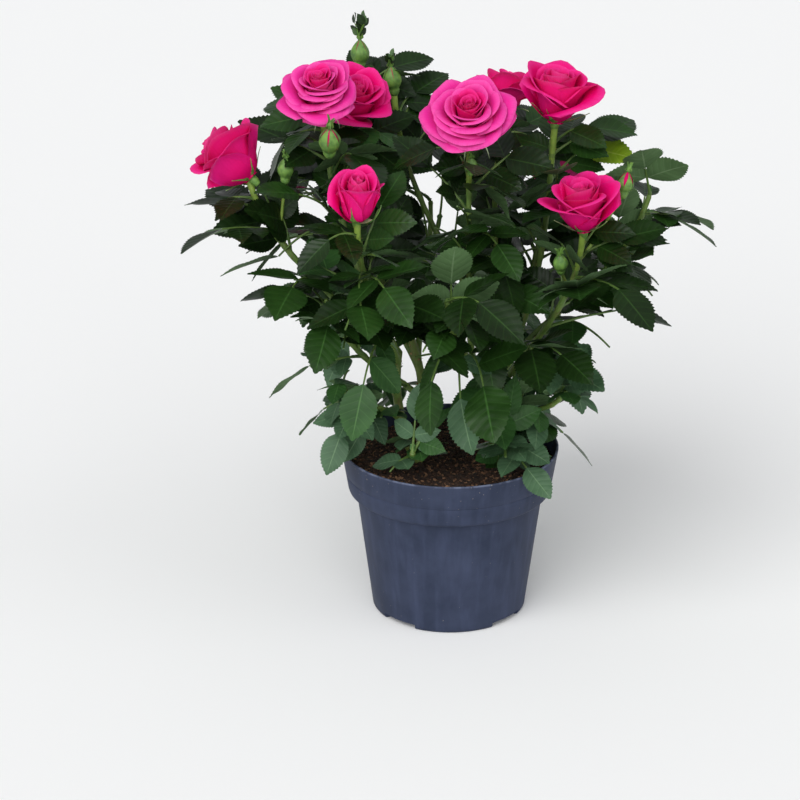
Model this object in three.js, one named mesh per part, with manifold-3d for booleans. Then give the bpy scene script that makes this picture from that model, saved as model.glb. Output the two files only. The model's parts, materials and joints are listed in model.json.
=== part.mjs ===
// Miniature rose bush in flower, growing in its nursery pot.
// Millimetres, +Z up. The origin is the centre of the pot's flat underside, and -Y is the front.
// Four canes stand in the soil. Boughs leave them, and each bough carries one mass of foliage,
// grown by a seeded rule: a stem, compound leaves on three-sided stalks, and a bloom at its tip.

import * as THREE from 'three';
import { mergeVertices } from 'three/addons/utils/BufferGeometryUtils.js';
import Module from 'manifold-3d';

const wasm = await Module();
wasm.setup();
const { Manifold, Mesh: SolidMesh } = wasm;

const GAP = 0.3;          // clearance between separate pieces
const CUT = 0.4;          // how much a limb is grown before another is cut clear of it
const SEAM = 0.4;         // clearance between the flat ends of two limbs in line
const LEAF_GAP = 0.5;     // clearance of a leaf to everything that isn't its own stem
const UP = new THREE.Vector3(0, 0, 1);

// Materials

const finish = (color, roughness) => new THREE.MeshStandardMaterial({ color, roughness, metalness: 0 });
const POT_PLASTIC = finish(0x464d5f, 0.55);
const POTTING_SOIL = finish(0x2b2119, 0.95);
const GREEN_BARK = finish(0x66803a, 0.6);
const LEAF_GREEN = finish(0x22401f, 0.45);
const PETAL_PINK = finish(0xd81f78, 0.6);

// Pot: an injection-moulded nursery pot with a collar, and notches in its foot ring

const RIM_RADIUS = 60;
const RIM_HEIGHT = 95;
const COLLAR_RADIUS = 56;         // at the collar's lower edge
const COLLAR_HEIGHT = 71;
const WALL_TOP_RADIUS = 51;       // where the wall meets the collar's chamfer
const WALL_TOP_HEIGHT = 65;
const FOOT_RADIUS = 42.5;
const FOOT_BEVEL = 1.2;
const WALL = 1.4;
const FLOOR = 5;
const POT_SIDES = 32;
const NOTCHES = 4;
const NOTCH_TURN = THREE.MathUtils.degToRad(49);   // first notch, from the front towards +X
const NOTCH = { wide: 21, deep: 6, high: 3 };

// Soil

const SOIL_TOP = 86;
const SOIL_GAP = 0.4;             // to the pot's wall, measured level

// Canes: foot and top on plan, top height, and how far the middle bows

const CANES = {
  front_left: { foot: [-18, -2], top: [-28, 0, 150], bow: [-5, -2] },
  front_right: { foot: [23, 6], top: [12, 14, 136], bow: [4, -2] },
  back_left: { foot: [-14, 32], top: [-24, 42, 146], bow: [3, 4] },
  back_right: { foot: [24, 36], top: [36, 40, 140], bow: [-4, 3] },
};
const CANE_RADIUS = { foot: 2.7, top: 2.2, flare: 1.1, flareHeight: 7 };
const CANE_SIDES = 6;
const CANE_STEPS = 6;

// Shoots: the cane and how far up it the shoot leaves, where its tip or the middle of its bloom
// is, the bloom's form and radius, how it faces (compass turn from +X and tilt from upright, in
// degrees), how many leaves it may have, and the seed of its growth

const SHOOTS = [
  { name: 'left', cane: 'front_left', from: 0.80, tip: [-117, 0, 260], form: 'half',
    radius: 18, face: [165, 42], leaves: 5, seed: 153 },
  { name: 'upper_left', cane: 'front_left', from: 0.97, tip: [-70, 0, 297], form: 'open',
    radius: 21, face: [-100, 33], leaves: 4, seed: 162 },
  { name: 'front', cane: 'front_left', from: 0.90, tip: [-48, -50, 255], form: 'tight',
    radius: 13.5, face: [-80, 16], leaves: 5, seed: 89 },
  { name: 'centre', cane: 'front_right', from: 0.97, tip: [8, -15, 286], form: 'open',
    radius: 24, face: [-95, 42], leaves: 5, seed: 26 },
  { name: 'right', cane: 'front_right', from: 0.55, tip: [67, -35, 247], form: 'half',
    radius: 19.5, face: [-110, 18], leaves: 5, seed: 139 },
  { name: 'far_right', cane: 'back_right', from: 0.60, tip: [106, 12, 236], form: 'leafy',
    radius: 0, face: [0, 40], leaves: 5, seed: 130 },
  { name: 'top_left', cane: 'back_left', from: 0.97, tip: [-48, 42, 281], form: 'half',
    radius: 17, face: [-30, 35], leaves: 4, seed: 173 },
  { name: 'top_bud', cane: 'back_left', from: 0.85, tip: [-51, 76, 296], form: 'bud',
    radius: 5, face: [90, 4], leaves: 4, seed: 50 },
  { name: 'top_centre', cane: 'back_right', from: 0.80, tip: [-33, 66, 284], form: 'bud',
    radius: 5, face: [200, 8], leaves: 5, seed: 103 },
  { name: 'upper_back', cane: 'back_right', from: 0.97, tip: [29, 55, 281], form: 'half',
    radius: 15, face: [60, 25], leaves: 5, seed: 160 },
  { name: 'upper_right', cane: 'back_right', from: 0.90, tip: [58, 15, 290], form: 'half',
    radius: 21, face: [-60, 22], leaves: 5, seed: 14 },
  { name: 'back_left', cane: 'back_left', from: 0.60, tip: [-72, 84, 233], form: 'half',
    radius: 18, face: [115, 40], leaves: 5, seed: 145 },
  { name: 'back_right', cane: 'back_right', from: 0.45, tip: [58, 80, 230], form: 'half',
    radius: 17, face: [60, 42], leaves: 5, seed: 110 },
  { name: 'low_left', cane: 'front_left', from: 0.35, tip: [-58, -18, 136], form: 'leafy',
    radius: 0, face: [190, 60], leaves: 3, seed: 172 },
  { name: 'low_front', cane: 'front_left', from: 0.10, tip: [-20, -38, 106], form: 'leafy',
    radius: 0, face: [260, 60], leaves: 3, seed: 153 },
  { name: 'low_right', cane: 'front_right', from: 0.30, tip: [62, -12, 132], form: 'leafy',
    radius: 0, face: [-20, 60], leaves: 4, seed: 105 },
  { name: 'low_middle', cane: 'front_right', from: 0.12, tip: [30, -34, 112], form: 'leafy',
    radius: 0, face: [280, 60], leaves: 4, seed: 70 },
  { name: 'low_back_left', cane: 'back_left', from: 0.25, tip: [-46, 60, 130], form: 'leafy',
    radius: 0, face: [130, 60], leaves: 3, seed: 149 },
  { name: 'low_back_right', cane: 'back_right', from: 0.25, tip: [56, 64, 126], form: 'leafy',
    radius: 0, face: [50, 60], leaves: 3, seed: 175 },
  { name: 'mid_left', cane: 'front_left', from: 0.60, tip: [-66, -30, 190], form: 'leafy',
    radius: 0, face: [200, 45], leaves: 5, seed: 18 },
  { name: 'mid_front', cane: 'front_right', from: 0.75, tip: [-2, -48, 196], form: 'leafy',
    radius: 0, face: [265, 40], leaves: 5, seed: 66 },
  { name: 'mid_back', cane: 'back_left', from: 0.70, tip: [-12, 98, 204], form: 'leafy',
    radius: 0, face: [100, 45], leaves: 5, seed: 7 },
];
const BOUGH_END = 0.30;           // share of a shoot's way from its cane where its leaves begin
const STEM_END = 0.92;            // and where the flower stalk begins
const BOUGH_RADIUS = { start: 2.0, end: 1.7 };
const STEM_RADIUS = { start: 1.6, end: 1.3 };
const STALK_RADIUS = { start: 1.3, end: 1.7 };
const BUD_STALK_RADIUS = { start: 0.9, end: 0.8 };
const LIMB_SIDES = 5;
const STEM_SIDES = 4;
const BOUGH_STEPS = 3;
const STEM_STEPS = 5;

// Small closed buds that stand beside the blooms, on stalks from a shoot's stem

const SIDE_BUDS = [
  { shoot: 'upper_left', from: 0.80, tip: [-64, -15, 274], radius: 3.6 },
  { shoot: 'left', from: 0.72, tip: [-88, -5, 254], radius: 3.6 },
  { shoot: 'centre', from: 0.78, tip: [10, -15, 260], radius: 2.8 },
  { shoot: 'right', from: 0.72, tip: [57, -45, 217], radius: 3.2 },
  { shoot: 'right', from: 0.84, tip: [90, -14, 250], radius: 3.8 },
];

// Leaves

const LEAF_SIZE = [29, 37];       // length of the end leaflet
const LOW_LEAF_SHARE = 0.72;      // leaves of the short low shoots are smaller
const LEAF_TURN = THREE.MathUtils.degToRad(144);
const LEAFLET = { width: 0.60, thick: 0.9, fold: 0.16, curl: 0.07 };
const LEAFLET_OUTLINE = [[0.30, 0.50], [0.70, 0.38]];   // share of length, share of width
const LEAFLET_MIDDLE = 0.45;
const JOINT = 0.9;                // half of a leaflet's foot along the leaf's stalk
const LEAF_STALK_RADIUS = { start: 0.95, end: 0.75 };
const OWN_SHARE = 0.34;           // a leaf stays nearer to its own shoot than to others by this
const TURN_TRIES = [0, 0.35, -0.35, 0.7, -0.7, 1.05];
const DIP_TRIES = [0, -0.3, 0.3, -0.6, 0.6];
const EYE = new THREE.Vector3(0, -1390, 680);   // no leaf hides a bloom from here
const BACK = 60;                  // blooms further back than this may be hidden
const RIM_CLEARANCE = 4;
const LOWEST_LEAF = 70;
const CROWN_MIDDLE = -20;         // leaves lean away from the crown's middle line, at y 20
const AWAY_PULL = 0.45;

// Solids

function solidOf(geometry) {
  geometry.deleteAttribute('normal');
  geometry.deleteAttribute('uv');
  const merged = mergeVertices(geometry, 1e-4);
  const corners = [];
  for (let i = 0; i < merged.index.count; i += 3) {
    const [a, b, c] = [0, 1, 2].map((k) => merged.index.getX(i + k));
    if (a !== b && b !== c && c !== a) corners.push(a, b, c);
  }
  return new Manifold(new SolidMesh({
    numProp: 3,
    vertProperties: new Float32Array(merged.attributes.position.array),
    triVerts: new Uint32Array(corners),
  }));
}

// The largest closed body: sealed hollows and loose scraps are left behind
function wholeOf(solid) {
  return solid.decompose().reduce((most, piece) => (piece.volume() > most.volume() ? piece : most));
}

function meshOf(name, solid, material) {
  const mesh = solid.getMesh();
  const geometry = new THREE.BufferGeometry();
  geometry.setAttribute('position', new THREE.BufferAttribute(mesh.vertProperties, 3));
  geometry.setIndex(new THREE.BufferAttribute(mesh.triVerts, 1));
  geometry.computeVertexNormals();
  const node = new THREE.Mesh(geometry, material);
  node.name = name;
  return node;
}

// Vectors and paths

const point = ([x, y, z]) => new THREE.Vector3(x, y, z);
const mix = (a, b, t) => a.clone().lerp(b, t);

function facing([turn, tilt]) {
  const [a, t] = [THREE.MathUtils.degToRad(turn), THREE.MathUtils.degToRad(tilt)];
  return new THREE.Vector3(Math.cos(a) * Math.sin(t), Math.sin(a) * Math.sin(t), Math.cos(t));
}

// An axis well away from a heading
function crosswise(way) {
  return Math.abs(way.y) < 0.9 ? new THREE.Vector3(0, 1, 0) : new THREE.Vector3(1, 0, 0);
}

function seededDraw(seed) {
  const span = 4294967296;
  let state = (seed * 2654435761 + 12345) % span;
  const draw = (low, high) => {
    state = (state * 1664525 + 1013904223) % span;
    return low + (high - low) * state / span;
  };
  for (let i = 0; i < 3; i++) draw(0, 1);
  return draw;
}

function along(path, t) {
  const x = t * (path.length - 1);
  const i = Math.min(Math.floor(x), path.length - 2);
  return mix(path[i], path[i + 1], x - i);
}

function headingAt(path, t) {
  const i = Math.min(Math.floor(t * (path.length - 1)), path.length - 2);
  return path[i + 1].clone().sub(path[i]).normalize();
}

const lengthOf = (path) => path.slice(1).reduce((sum, p, i) => sum + p.distanceTo(path[i]), 0);

function stretch(path, from, to, steps) {
  return Array.from({ length: steps + 1 }, (_, i) => along(path, from + (to - from) * i / steps));
}

// A tapering rod with flat ends: a cylinder bent along a path
function limb(path, radiusAt, sides) {
  const steps = path.length - 1;
  const rod = new THREE.CylinderGeometry(1, 1, 1, sides, steps);
  const frames = [];
  let across = crosswise(headingAt(path, 0));
  for (let i = 0; i <= steps; i++) {
    const ahead = path[Math.min(i + 1, steps)].clone().sub(path[Math.max(i - 1, 0)]).normalize();
    across = across.clone().addScaledVector(ahead, -across.dot(ahead)).normalize();
    frames.push({ across, aside: across.clone().cross(ahead) });
  }
  const spots = rod.attributes.position;
  for (let v = 0; v < spots.count; v++) {
    const t = spots.getY(v) + 0.5;
    const i = Math.round(t * steps);
    const radius = radiusAt(t);
    const spot = path[i].clone()
      .addScaledVector(frames[i].across, spots.getX(v) * radius)
      .addScaledVector(frames[i].aside, spots.getZ(v) * radius);
    spots.setXYZ(v, spot.x, spot.y, spot.z);
  }
  return solidOf(rod);
}

const taper = ({ start, end }, more = 0) => (t) => start + (end - start) * t + more;

// Pot and soil

function turned(profile, sides) {
  const lathe = new THREE.LatheGeometry(profile.map(([r, z]) => new THREE.Vector2(r, z)), sides);
  lathe.rotateX(Math.PI / 2);
  return solidOf(lathe);
}

function placed(geometry, x, y, z, turn = 0) {
  geometry.rotateZ(turn);
  geometry.translate(x, y, z);
  return solidOf(geometry);
}

const wallInside = (z) => {
  const share = (z - FLOOR) / (WALL_TOP_HEIGHT - FLOOR);
  const foot = FOOT_RADIUS + (WALL_TOP_RADIUS - FOOT_RADIUS) * FLOOR / WALL_TOP_HEIGHT;
  return foot + (WALL_TOP_RADIUS - foot) * share - WALL;
};
const collarInside = (z) => {
  const share = (z - COLLAR_HEIGHT) / (RIM_HEIGHT - COLLAR_HEIGHT);
  return COLLAR_RADIUS + (RIM_RADIUS - COLLAR_RADIUS) * share - WALL;
};

function potSolid() {
  let pot = turned([
    [0, 0],
    [FOOT_RADIUS - FOOT_BEVEL, 0],
    [FOOT_RADIUS, FOOT_BEVEL],
    [WALL_TOP_RADIUS, WALL_TOP_HEIGHT],
    [COLLAR_RADIUS, COLLAR_HEIGHT],
    [RIM_RADIUS, RIM_HEIGHT],
    [collarInside(RIM_HEIGHT), RIM_HEIGHT],
    [collarInside(COLLAR_HEIGHT), COLLAR_HEIGHT],
    [wallInside(WALL_TOP_HEIGHT), WALL_TOP_HEIGHT + WALL / 2],
    [wallInside(FLOOR), FLOOR],
    [0, FLOOR],
  ], POT_SIDES);
  const reach = FOOT_RADIUS - NOTCH.deep / 2 + 1;
  for (let i = 0; i < NOTCHES; i++) {
    const turn = NOTCH_TURN + i * 2 * Math.PI / NOTCHES;
    const box = new THREE.BoxGeometry(NOTCH.wide, NOTCH.deep + 2, NOTCH.high * 2);
    pot = pot.subtract(placed(box, Math.sin(turn) * reach, -Math.cos(turn) * reach, 0, turn));
  }
  return pot;
}

const soilSolid = () => turned([
  [0, FLOOR + GAP],
  [wallInside(FLOOR + GAP) - SOIL_GAP, FLOOR + GAP],
  [wallInside(WALL_TOP_HEIGHT) - SOIL_GAP, WALL_TOP_HEIGHT + WALL / 2],
  [collarInside(COLLAR_HEIGHT) - SOIL_GAP, COLLAR_HEIGHT + GAP],
  [collarInside(SOIL_TOP) - SOIL_GAP, SOIL_TOP],
  [0, SOIL_TOP],
], POT_SIDES);

// Canes

function canePoint(name, t) {
  const { foot, top, bow } = CANES[name];
  const sway = 4 * t * (1 - t);
  return point([
    foot[0] + (top[0] - foot[0]) * t + bow[0] * sway,
    foot[1] + (top[1] - foot[1]) * t + bow[1] * sway,
    SOIL_TOP + (top[2] - SOIL_TOP) * t,
  ]);
}

function caneSolid(name, more = 0) {
  const start = -0.08;            // below the soil, so that the foot can be cut level
  const end = 1 + more / (CANES[name].top[2] - SOIL_TOP);
  const path = Array.from({ length: CANE_STEPS + 1 },
    (_, i) => canePoint(name, start + (end - start) * i / CANE_STEPS));
  const height = path[CANE_STEPS].z - path[0].z;
  const radiusAt = (t) => {
    const up = Math.max(0, path[0].z + t * height - SOIL_TOP);
    const flare = CANE_RADIUS.flare * Math.exp(-up / CANE_RADIUS.flareHeight);
    return CANE_RADIUS.foot + (CANE_RADIUS.top - CANE_RADIUS.foot) * t + flare + more;
  };
  return limb(path, radiusAt, CANE_SIDES).trimByPlane([0, 0, 1], SOIL_TOP + GAP);
}

// Shoots: the path from the cane to the base of the bloom

const TALL = { open: 1.25, half: 1.5, tight: 2.1, bud: 2.6, leafy: 0 };   // a bloom's height, in radii
const PATH_STEPS = 24;
const SHOOT_BEND = 0.36;          // how far the curve's handles reach, as a share of its span

function shootPath({ cane, from, tip, form, radius, face }) {
  const root = canePoint(cane, from);
  const way = facing(face);
  const end = point(tip).addScaledVector(way, -radius * TALL[form] / 2);
  const span = end.distanceTo(root);
  const out = new THREE.Vector3(end.x - root.x + 1e-6, end.y - root.y, 0).normalize();
  const leave = out.multiplyScalar(0.55).add(UP).normalize();
  const arrive = way.multiplyScalar(0.5).add(UP).normalize();
  const curve = new THREE.CubicBezierCurve3(
    root,
    root.clone().addScaledVector(leave, span * SHOOT_BEND),
    end.clone().addScaledVector(arrive, -span * SHOOT_BEND),
    end,
  );
  return curve.getPoints(PATH_STEPS);
}

for (const shoot of SHOOTS) {
  shoot.path = shootPath(shoot);
  shoot.length = lengthOf(shoot.path);
  shoot.low = shoot.from < 0.4 && shoot.form === 'leafy';
  shoot.stemFrom = shoot.low ? 0 : BOUGH_END + SEAM / shoot.length;
  shoot.stemTo = shoot.form === 'leafy' ? 1 : STEM_END;
}

// Leaves: a stalk with an end leaflet and one or two pairs beside it

const STALK_STEPS = 6;
const PAIR_STATIONS = { 1: [3], 2: [4, 2] };          // where the pairs stand on the stalk
const STALK_REACH = { 1: 0.78, 2: 1.14 };             // with one or two pairs, in leaflet lengths
const PAIR_SHARES = [0.86, 0.66];                     // the pairs' size, outer pair first

function drawLeaf(draw, pairs) {
  const traits = { rise: draw(0, 0.35), drop: draw(0.12, 0.6), sway: draw(-0.18, 0.18) };
  traits.roll = draw(-0.55, 0.55);
  traits.end = { sag: draw(0, 0.42), share: draw(0.92, 1.08) };
  traits.sides = [];
  for (let k = 0; k < pairs; k++) {
    for (const side of [-1, 1]) {
      traits.sides.push({ k, side, spread: draw(0.95, 1.3), sag: draw(0, 0.3), share: draw(0.9, 1.08) });
    }
  }
  return traits;
}

function stalkFrame(stalk, i) {
  const ahead = stalk[Math.min(i + 1, STALK_STEPS)].clone().sub(stalk[Math.max(i - 1, 0)]).normalize();
  const face = ahead.clone().cross(UP).normalize().cross(ahead);
  return { ahead, face };
}

function leafOf({ at, out, size, pairs, traits }) {
  const reach = size * STALK_REACH[pairs];
  const aside = out.clone().cross(UP).normalize();
  const stalk = [];
  for (let i = 0; i <= STALK_STEPS; i++) {
    const u = i / STALK_STEPS;
    stalk.push(at.clone()
      .addScaledVector(out, u * reach)
      .addScaledVector(aside, traits.sway * u * u * reach)
      .addScaledVector(UP, (traits.rise * u - traits.drop * u * u) * reach));
  }
  const frameAt = (i, roll) => {
    const { ahead, face } = stalkFrame(stalk, i);
    face.applyAxisAngle(ahead, roll);
    return { ahead, face, side: ahead.clone().cross(face) };
  };
  const end = frameAt(STALK_STEPS, traits.roll);
  const leaflets = [{
    base: stalk[STALK_STEPS],
    heading: end.ahead.clone().addScaledVector(end.face, -traits.end.sag).normalize(),
    face: end.face.clone().addScaledVector(end.ahead, traits.end.sag).normalize(),
    length: size * traits.end.share,
    station: STALK_STEPS,
  }];
  for (const { k, side, spread, sag, share } of traits.sides) {
    const i = PAIR_STATIONS[pairs][k];
    const frame = frameAt(i, traits.roll * 0.7);
    const heading = frame.ahead.clone().multiplyScalar(Math.cos(spread))
      .addScaledVector(frame.side, side * Math.sin(spread))
      .addScaledVector(frame.face, -sag)
      .normalize();
    leaflets.push({
      base: stalk[i],
      heading,
      face: frame.face.clone().addScaledVector(heading, -frame.face.dot(heading)).normalize(),
      length: size * PAIR_SHARES[k] * share,
      station: i,
      side,
    });
  }
  return { stalk, pairs, leaflets };
}

// Leaves stand in a spiral from above the bough to the tip, or to the stalk of the bloom.
// They are largest halfway up and lean outwards.
const FIRST_LEAF = { low: 0.30, other: 0.34 };
const LAST_LEAF = { leafy: 1.0, flowering: 0.90 };

function leafPlans(shoot) {
  const draw = seededDraw(shoot.seed);
  const first = shoot.low ? FIRST_LEAF.low : FIRST_LEAF.other;
  const last = shoot.form === 'leafy' ? LAST_LEAF.leafy : LAST_LEAF.flowering;
  const turn = draw(0, 2 * Math.PI);
  const plans = [];
  for (let i = 0; i < shoot.leaves; i++) {
    const share = i / (shoot.leaves - 1);
    const t = first + (last - first) * share;
    const at = along(shoot.path, t);
    const ahead = headingAt(shoot.path, Math.min(t, 0.99));
    const round = ahead.clone().cross(crosswise(ahead)).normalize()
      .applyAxisAngle(ahead, turn + i * LEAF_TURN + draw(-0.3, 0.3));
    const lean = draw(0.45, 0.9);
    const away = new THREE.Vector3(at.x, at.y + CROWN_MIDDLE - 1e-6, 0).normalize();
    const out = round.addScaledVector(ahead, lean).addScaledVector(away, AWAY_PULL).normalize();
    const vigour = Math.sin(Math.PI * Math.min(1, 0.28 + 0.55 * share));
    const size = draw(...LEAF_SIZE) * (0.72 + 0.28 * vigour) * (shoot.low ? LOW_LEAF_SHARE : 1);
    const pairs = i >= shoot.leaves - 1 || shoot.low ? 1 : 2;
    plans.push({ at, ahead, out, size, pairs, traits: drawLeaf(draw, pairs) });
  }
  return plans;
}

// A leaf's own space: nearest its own shoot, over the soil, off the pot's rim and out of the
// line of sight to a bloom
function nearestTo(path, spot) {
  return Math.min(...path.slice(2).map((p) => p.distanceTo(spot)));
}

const HIDDEN_SHARE = 0.95;        // how much of a bloom's radius stays in view

function hidesBloom(spot) {
  return SHOOTS.some(({ tip, radius, form }) => {
    if (form === 'bud' || form === 'leafy' || tip[1] > BACK) return false;
    const view = EYE.clone().sub(point(tip)).normalize();
    const off = spot.clone().sub(point(tip));
    const ahead = off.dot(view);
    return ahead > 0 && Math.sqrt(off.lengthSq() - ahead * ahead) < radius * HIDDEN_SHARE;
  });
}

function inSpace(shoot, { base, heading, length }) {
  return [0.55, 1].every((u) => {
    const spot = base.clone().addScaledVector(heading, length * u);
    const own = nearestTo(shoot.path, spot) * OWN_SHARE;
    if (SHOOTS.some((other) => other !== shoot && nearestTo(other.path, spot) < own)) return false;
    const r = Math.hypot(spot.x, spot.y);
    const overPot = r < RIM_RADIUS + RIM_CLEARANCE;
    const overRim = overPot && r > RIM_RADIUS - 10;
    if (overPot && spot.z < SOIL_TOP + 3) return false;
    if (overRim && spot.z < RIM_HEIGHT + RIM_CLEARANCE) return false;
    return spot.z > LOWEST_LEAF && !hidesBloom(spot);
  });
}

// A whole leaf as one closed skin: a three-sided stalk whose faces open into the leaflets.
// A leaflet is a thin lens in the outline of a rose leaf, folded along its rib, its tip hanging.
function leafSolid({ stalk, pairs }, leaflets) {
  const spots = [];
  const faces = [];
  const add = (spot) => spots.push(spot) - 1;
  const skin = (...corners) => faces.push(...corners);

  const ringAt = (i, shift) => {
    const { ahead, face } = stalkFrame(stalk, i);
    const side = ahead.clone().cross(face);
    const middle = stalk[i].clone().addScaledVector(ahead, shift);
    const { start, end } = LEAF_STALK_RADIUS;
    const radius = start + (end - start) * i / STALK_STEPS;
    return [[0, 1], [-0.87, -0.5], [0.87, -0.5]].map(([x, z]) => add(middle.clone()
      .addScaledVector(side, x * radius)
      .addScaledVector(face, z * radius)));
  };

  const growBlade = ([a, b, c, d], { base, heading, face, length }) => {
    const across = heading.clone().cross(face);
    const spotAt = (u, w, up) => {
      const aside = w * LEAFLET.width * length;
      const lift = LEAFLET.fold * Math.abs(aside) - LEAFLET.curl * u * u * length;
      return add(base.clone()
        .addScaledVector(heading, u * length)
        .addScaledVector(across, aside)
        .addScaledVector(face, lift + up));
    };
    const [plus, minus] = [1, -1].map((side) => LEAFLET_OUTLINE.map(([u, w]) => spotAt(u, side * w, 0)));
    const rim = [...plus, spotAt(1, 0, 0), ...minus.reverse()];
    const top = spotAt(LEAFLET_MIDDLE, 0, LEAFLET.thick / 2);
    const under = spotAt(LEAFLET_MIDDLE, 0, -LEAFLET.thick / 2);
    const upper = [a, b, ...rim, a];
    const lower = [c, ...rim, d, c];
    upper.slice(1).forEach((corner, i) => {
      if (upper[i] !== corner) skin(upper[i], corner, top);
    });
    lower.slice(1).forEach((corner, i) => skin(corner, lower[i], under));
    skin(b, c, rim[0]);
    skin(d, a, rim.at(-1));
  };

  const sideways = leaflets.filter(({ side }) => side);
  const stations = PAIR_STATIONS[pairs].slice().sort();
  const rings = [ringAt(0, 0), ...stations.flatMap((i) => [ringAt(i, -JOINT), ringAt(i, JOINT)]),
    ringAt(STALK_STEPS, 0)];
  skin(...rings[0]);
  for (let k = 0; k < rings.length - 1; k++) {
    const [near, far] = [rings[k], rings[k + 1]];
    const here = k % 2 === 1 ? sideways.filter(({ station }) => station === stations[(k - 1) / 2]) : [];
    const left = here.find(({ side }) => side < 0);
    const right = here.find(({ side }) => side > 0);
    [left, null, right].forEach((leaflet, edge) => {
      const [p, q] = [edge, (edge + 1) % 3];
      if (!leaflet) {
        skin(near[p], far[q], near[q]);
        skin(near[p], far[p], far[q]);
      } else if (edge === 0) {
        growBlade([near[p], far[p], far[q], near[q]], leaflet);
      } else {
        growBlade([far[q], near[q], near[p], far[p]], leaflet);
      }
    });
  }
  const tip = rings.at(-1);
  const last = leaflets.find(({ side }) => !side);
  if (last) growBlade([tip[0], tip[0], tip[2], tip[1]], last);
  else skin(tip[0], tip[2], tip[1]);

  const leaf = new THREE.BufferGeometry().setFromPoints(spots);
  leaf.setIndex(faces);
  return solidOf(leaf);
}

function dipped(leaflet, dip) {
  const { heading, face } = leaflet;
  return {
    ...leaflet,
    heading: heading.clone().multiplyScalar(Math.cos(dip)).addScaledVector(face, -Math.sin(dip)),
    face: face.clone().multiplyScalar(Math.cos(dip)).addScaledVector(heading, Math.sin(dip)),
  };
}

// Blooms: a cup of petals with five outer petals, on a stalk with a calyx

// Rings of the cup: share of radius, share of height, and how far five petal lobes stand out
const CUPS = {
  open: [[0.16, 0, 0], [0.20, 0.07, 0], [0.58, 0.20, 0.03], [0.84, 0.44, 0.06], [0.94, 0.64, 0.10],
    [0.78, 0.70, 0.02], [0.66, 0.88, -0.06], [0.40, 0.95, 0.06], [0.16, 1.00, 0]],
  half: [[0.18, 0, 0], [0.24, 0.06, 0], [0.66, 0.24, 0.03], [0.86, 0.50, 0.05], [0.94, 0.82, 0.09],
    [0.74, 0.85, 0.02], [0.62, 0.96, -0.06], [0.34, 0.98, 0.06], [0.14, 1.00, 0]],
  tight: [[0.22, 0, 0], [0.32, 0.06, 0], [0.76, 0.22, 0.03], [0.96, 0.45, 0.04], [0.90, 0.70, 0.08],
    [0.64, 0.76, 0.02], [0.54, 0.94, -0.05], [0.30, 0.98, 0.06], [0.12, 1.00, 0]],
};
const CUP_SIDES = 10;
const CUP_HOLLOW = 0.97;          // height of the middle of the top
const LOBES = 5;
const SEPALS = 5;
const SEPAL = { width: 4.4, thick: 1.0, share: 0.85, lift: { tight: 0.15, loose: -0.25 } };

function axesOf(way) {
  const across = way.clone().cross(crosswise(way)).normalize();
  return { across, aside: across.clone().cross(way) };
}

// Stands a shape made round +Y on a point, with +Y turned to the way it faces
function stood(geometry, at, way) {
  const { across, aside } = axesOf(way);
  geometry.applyMatrix4(new THREE.Matrix4().makeBasis(across, way, aside).setPosition(at));
  return solidOf(geometry);
}

function sepalSolid(at, way, turn, length, lift) {
  const { across, aside } = axesOf(way);
  const out = across.clone().multiplyScalar(Math.cos(turn)).addScaledVector(aside, Math.sin(turn));
  const heading = out.clone().multiplyScalar(Math.cos(lift)).addScaledVector(way, Math.sin(lift));
  const face = way.clone().multiplyScalar(Math.cos(lift)).addScaledVector(out, -Math.sin(lift));
  const side = heading.clone().cross(face);
  const blade = new THREE.SphereGeometry(1, 4, 2);
  const spots = blade.attributes.position;
  for (let v = 0; v < spots.count; v++) {
    const u = 0.5 + 0.5 * spots.getX(v) - 0.12 * (1 - spots.getX(v) ** 2);
    const spot = at.clone()
      .addScaledVector(heading, u * length)
      .addScaledVector(side, spots.getZ(v) * SEPAL.width / 2)
      .addScaledVector(face, spots.getY(v) * SEPAL.thick / 2);
    spots.setXYZ(v, spot.x, spot.y, spot.z);
  }
  return solidOf(blade);
}

function bloomSolids(shoot) {
  const { form, radius } = shoot;
  const base = shoot.path[PATH_STEPS];
  const way = facing(shoot.face);
  const tall = radius * TALL[form];
  const profile = [[0, 0, 0], ...CUPS[form], [0, CUP_HOLLOW, 0]];
  const cup = new THREE.LatheGeometry(
    profile.map(([r, h]) => new THREE.Vector2(r * radius, h * tall)), CUP_SIDES);
  const spots = cup.attributes.position;
  for (let v = 0; v < spots.count; v++) {
    const [x, y, z] = [spots.getX(v), spots.getY(v), spots.getZ(v)];
    const lobe = profile[v % profile.length][2] * Math.cos(LOBES * Math.atan2(x, z));
    spots.setXYZ(v, x * (1 + lobe), y + lobe * tall * 0.4, z * (1 + lobe));
  }
  const pieces = [stood(cup, base, way)];
  const lift = form === 'tight' ? SEPAL.lift.tight : SEPAL.lift.loose;
  for (let k = 0; k < SEPALS; k++) {
    const turn = (k + 0.5) * 2 * Math.PI / SEPALS;
    pieces.push(sepalSolid(base, way, turn, radius * SEPAL.share, lift));
  }
  return pieces;
}

// Rings of the bud: share of radius and of height
const BUD = [[0, -0.3], [0.55, -0.22], [0.62, -0.02], [0.55, 0.08], [1, 0.42], [0.72, 0.76], [0, 1.05]];
const BUD_SIDES = 6;
const BUD_LEAF_TIPS = 3;
const BUD_SEPAL = { start: 0.1, share: 1.95, lift: 1.25 };

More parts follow.
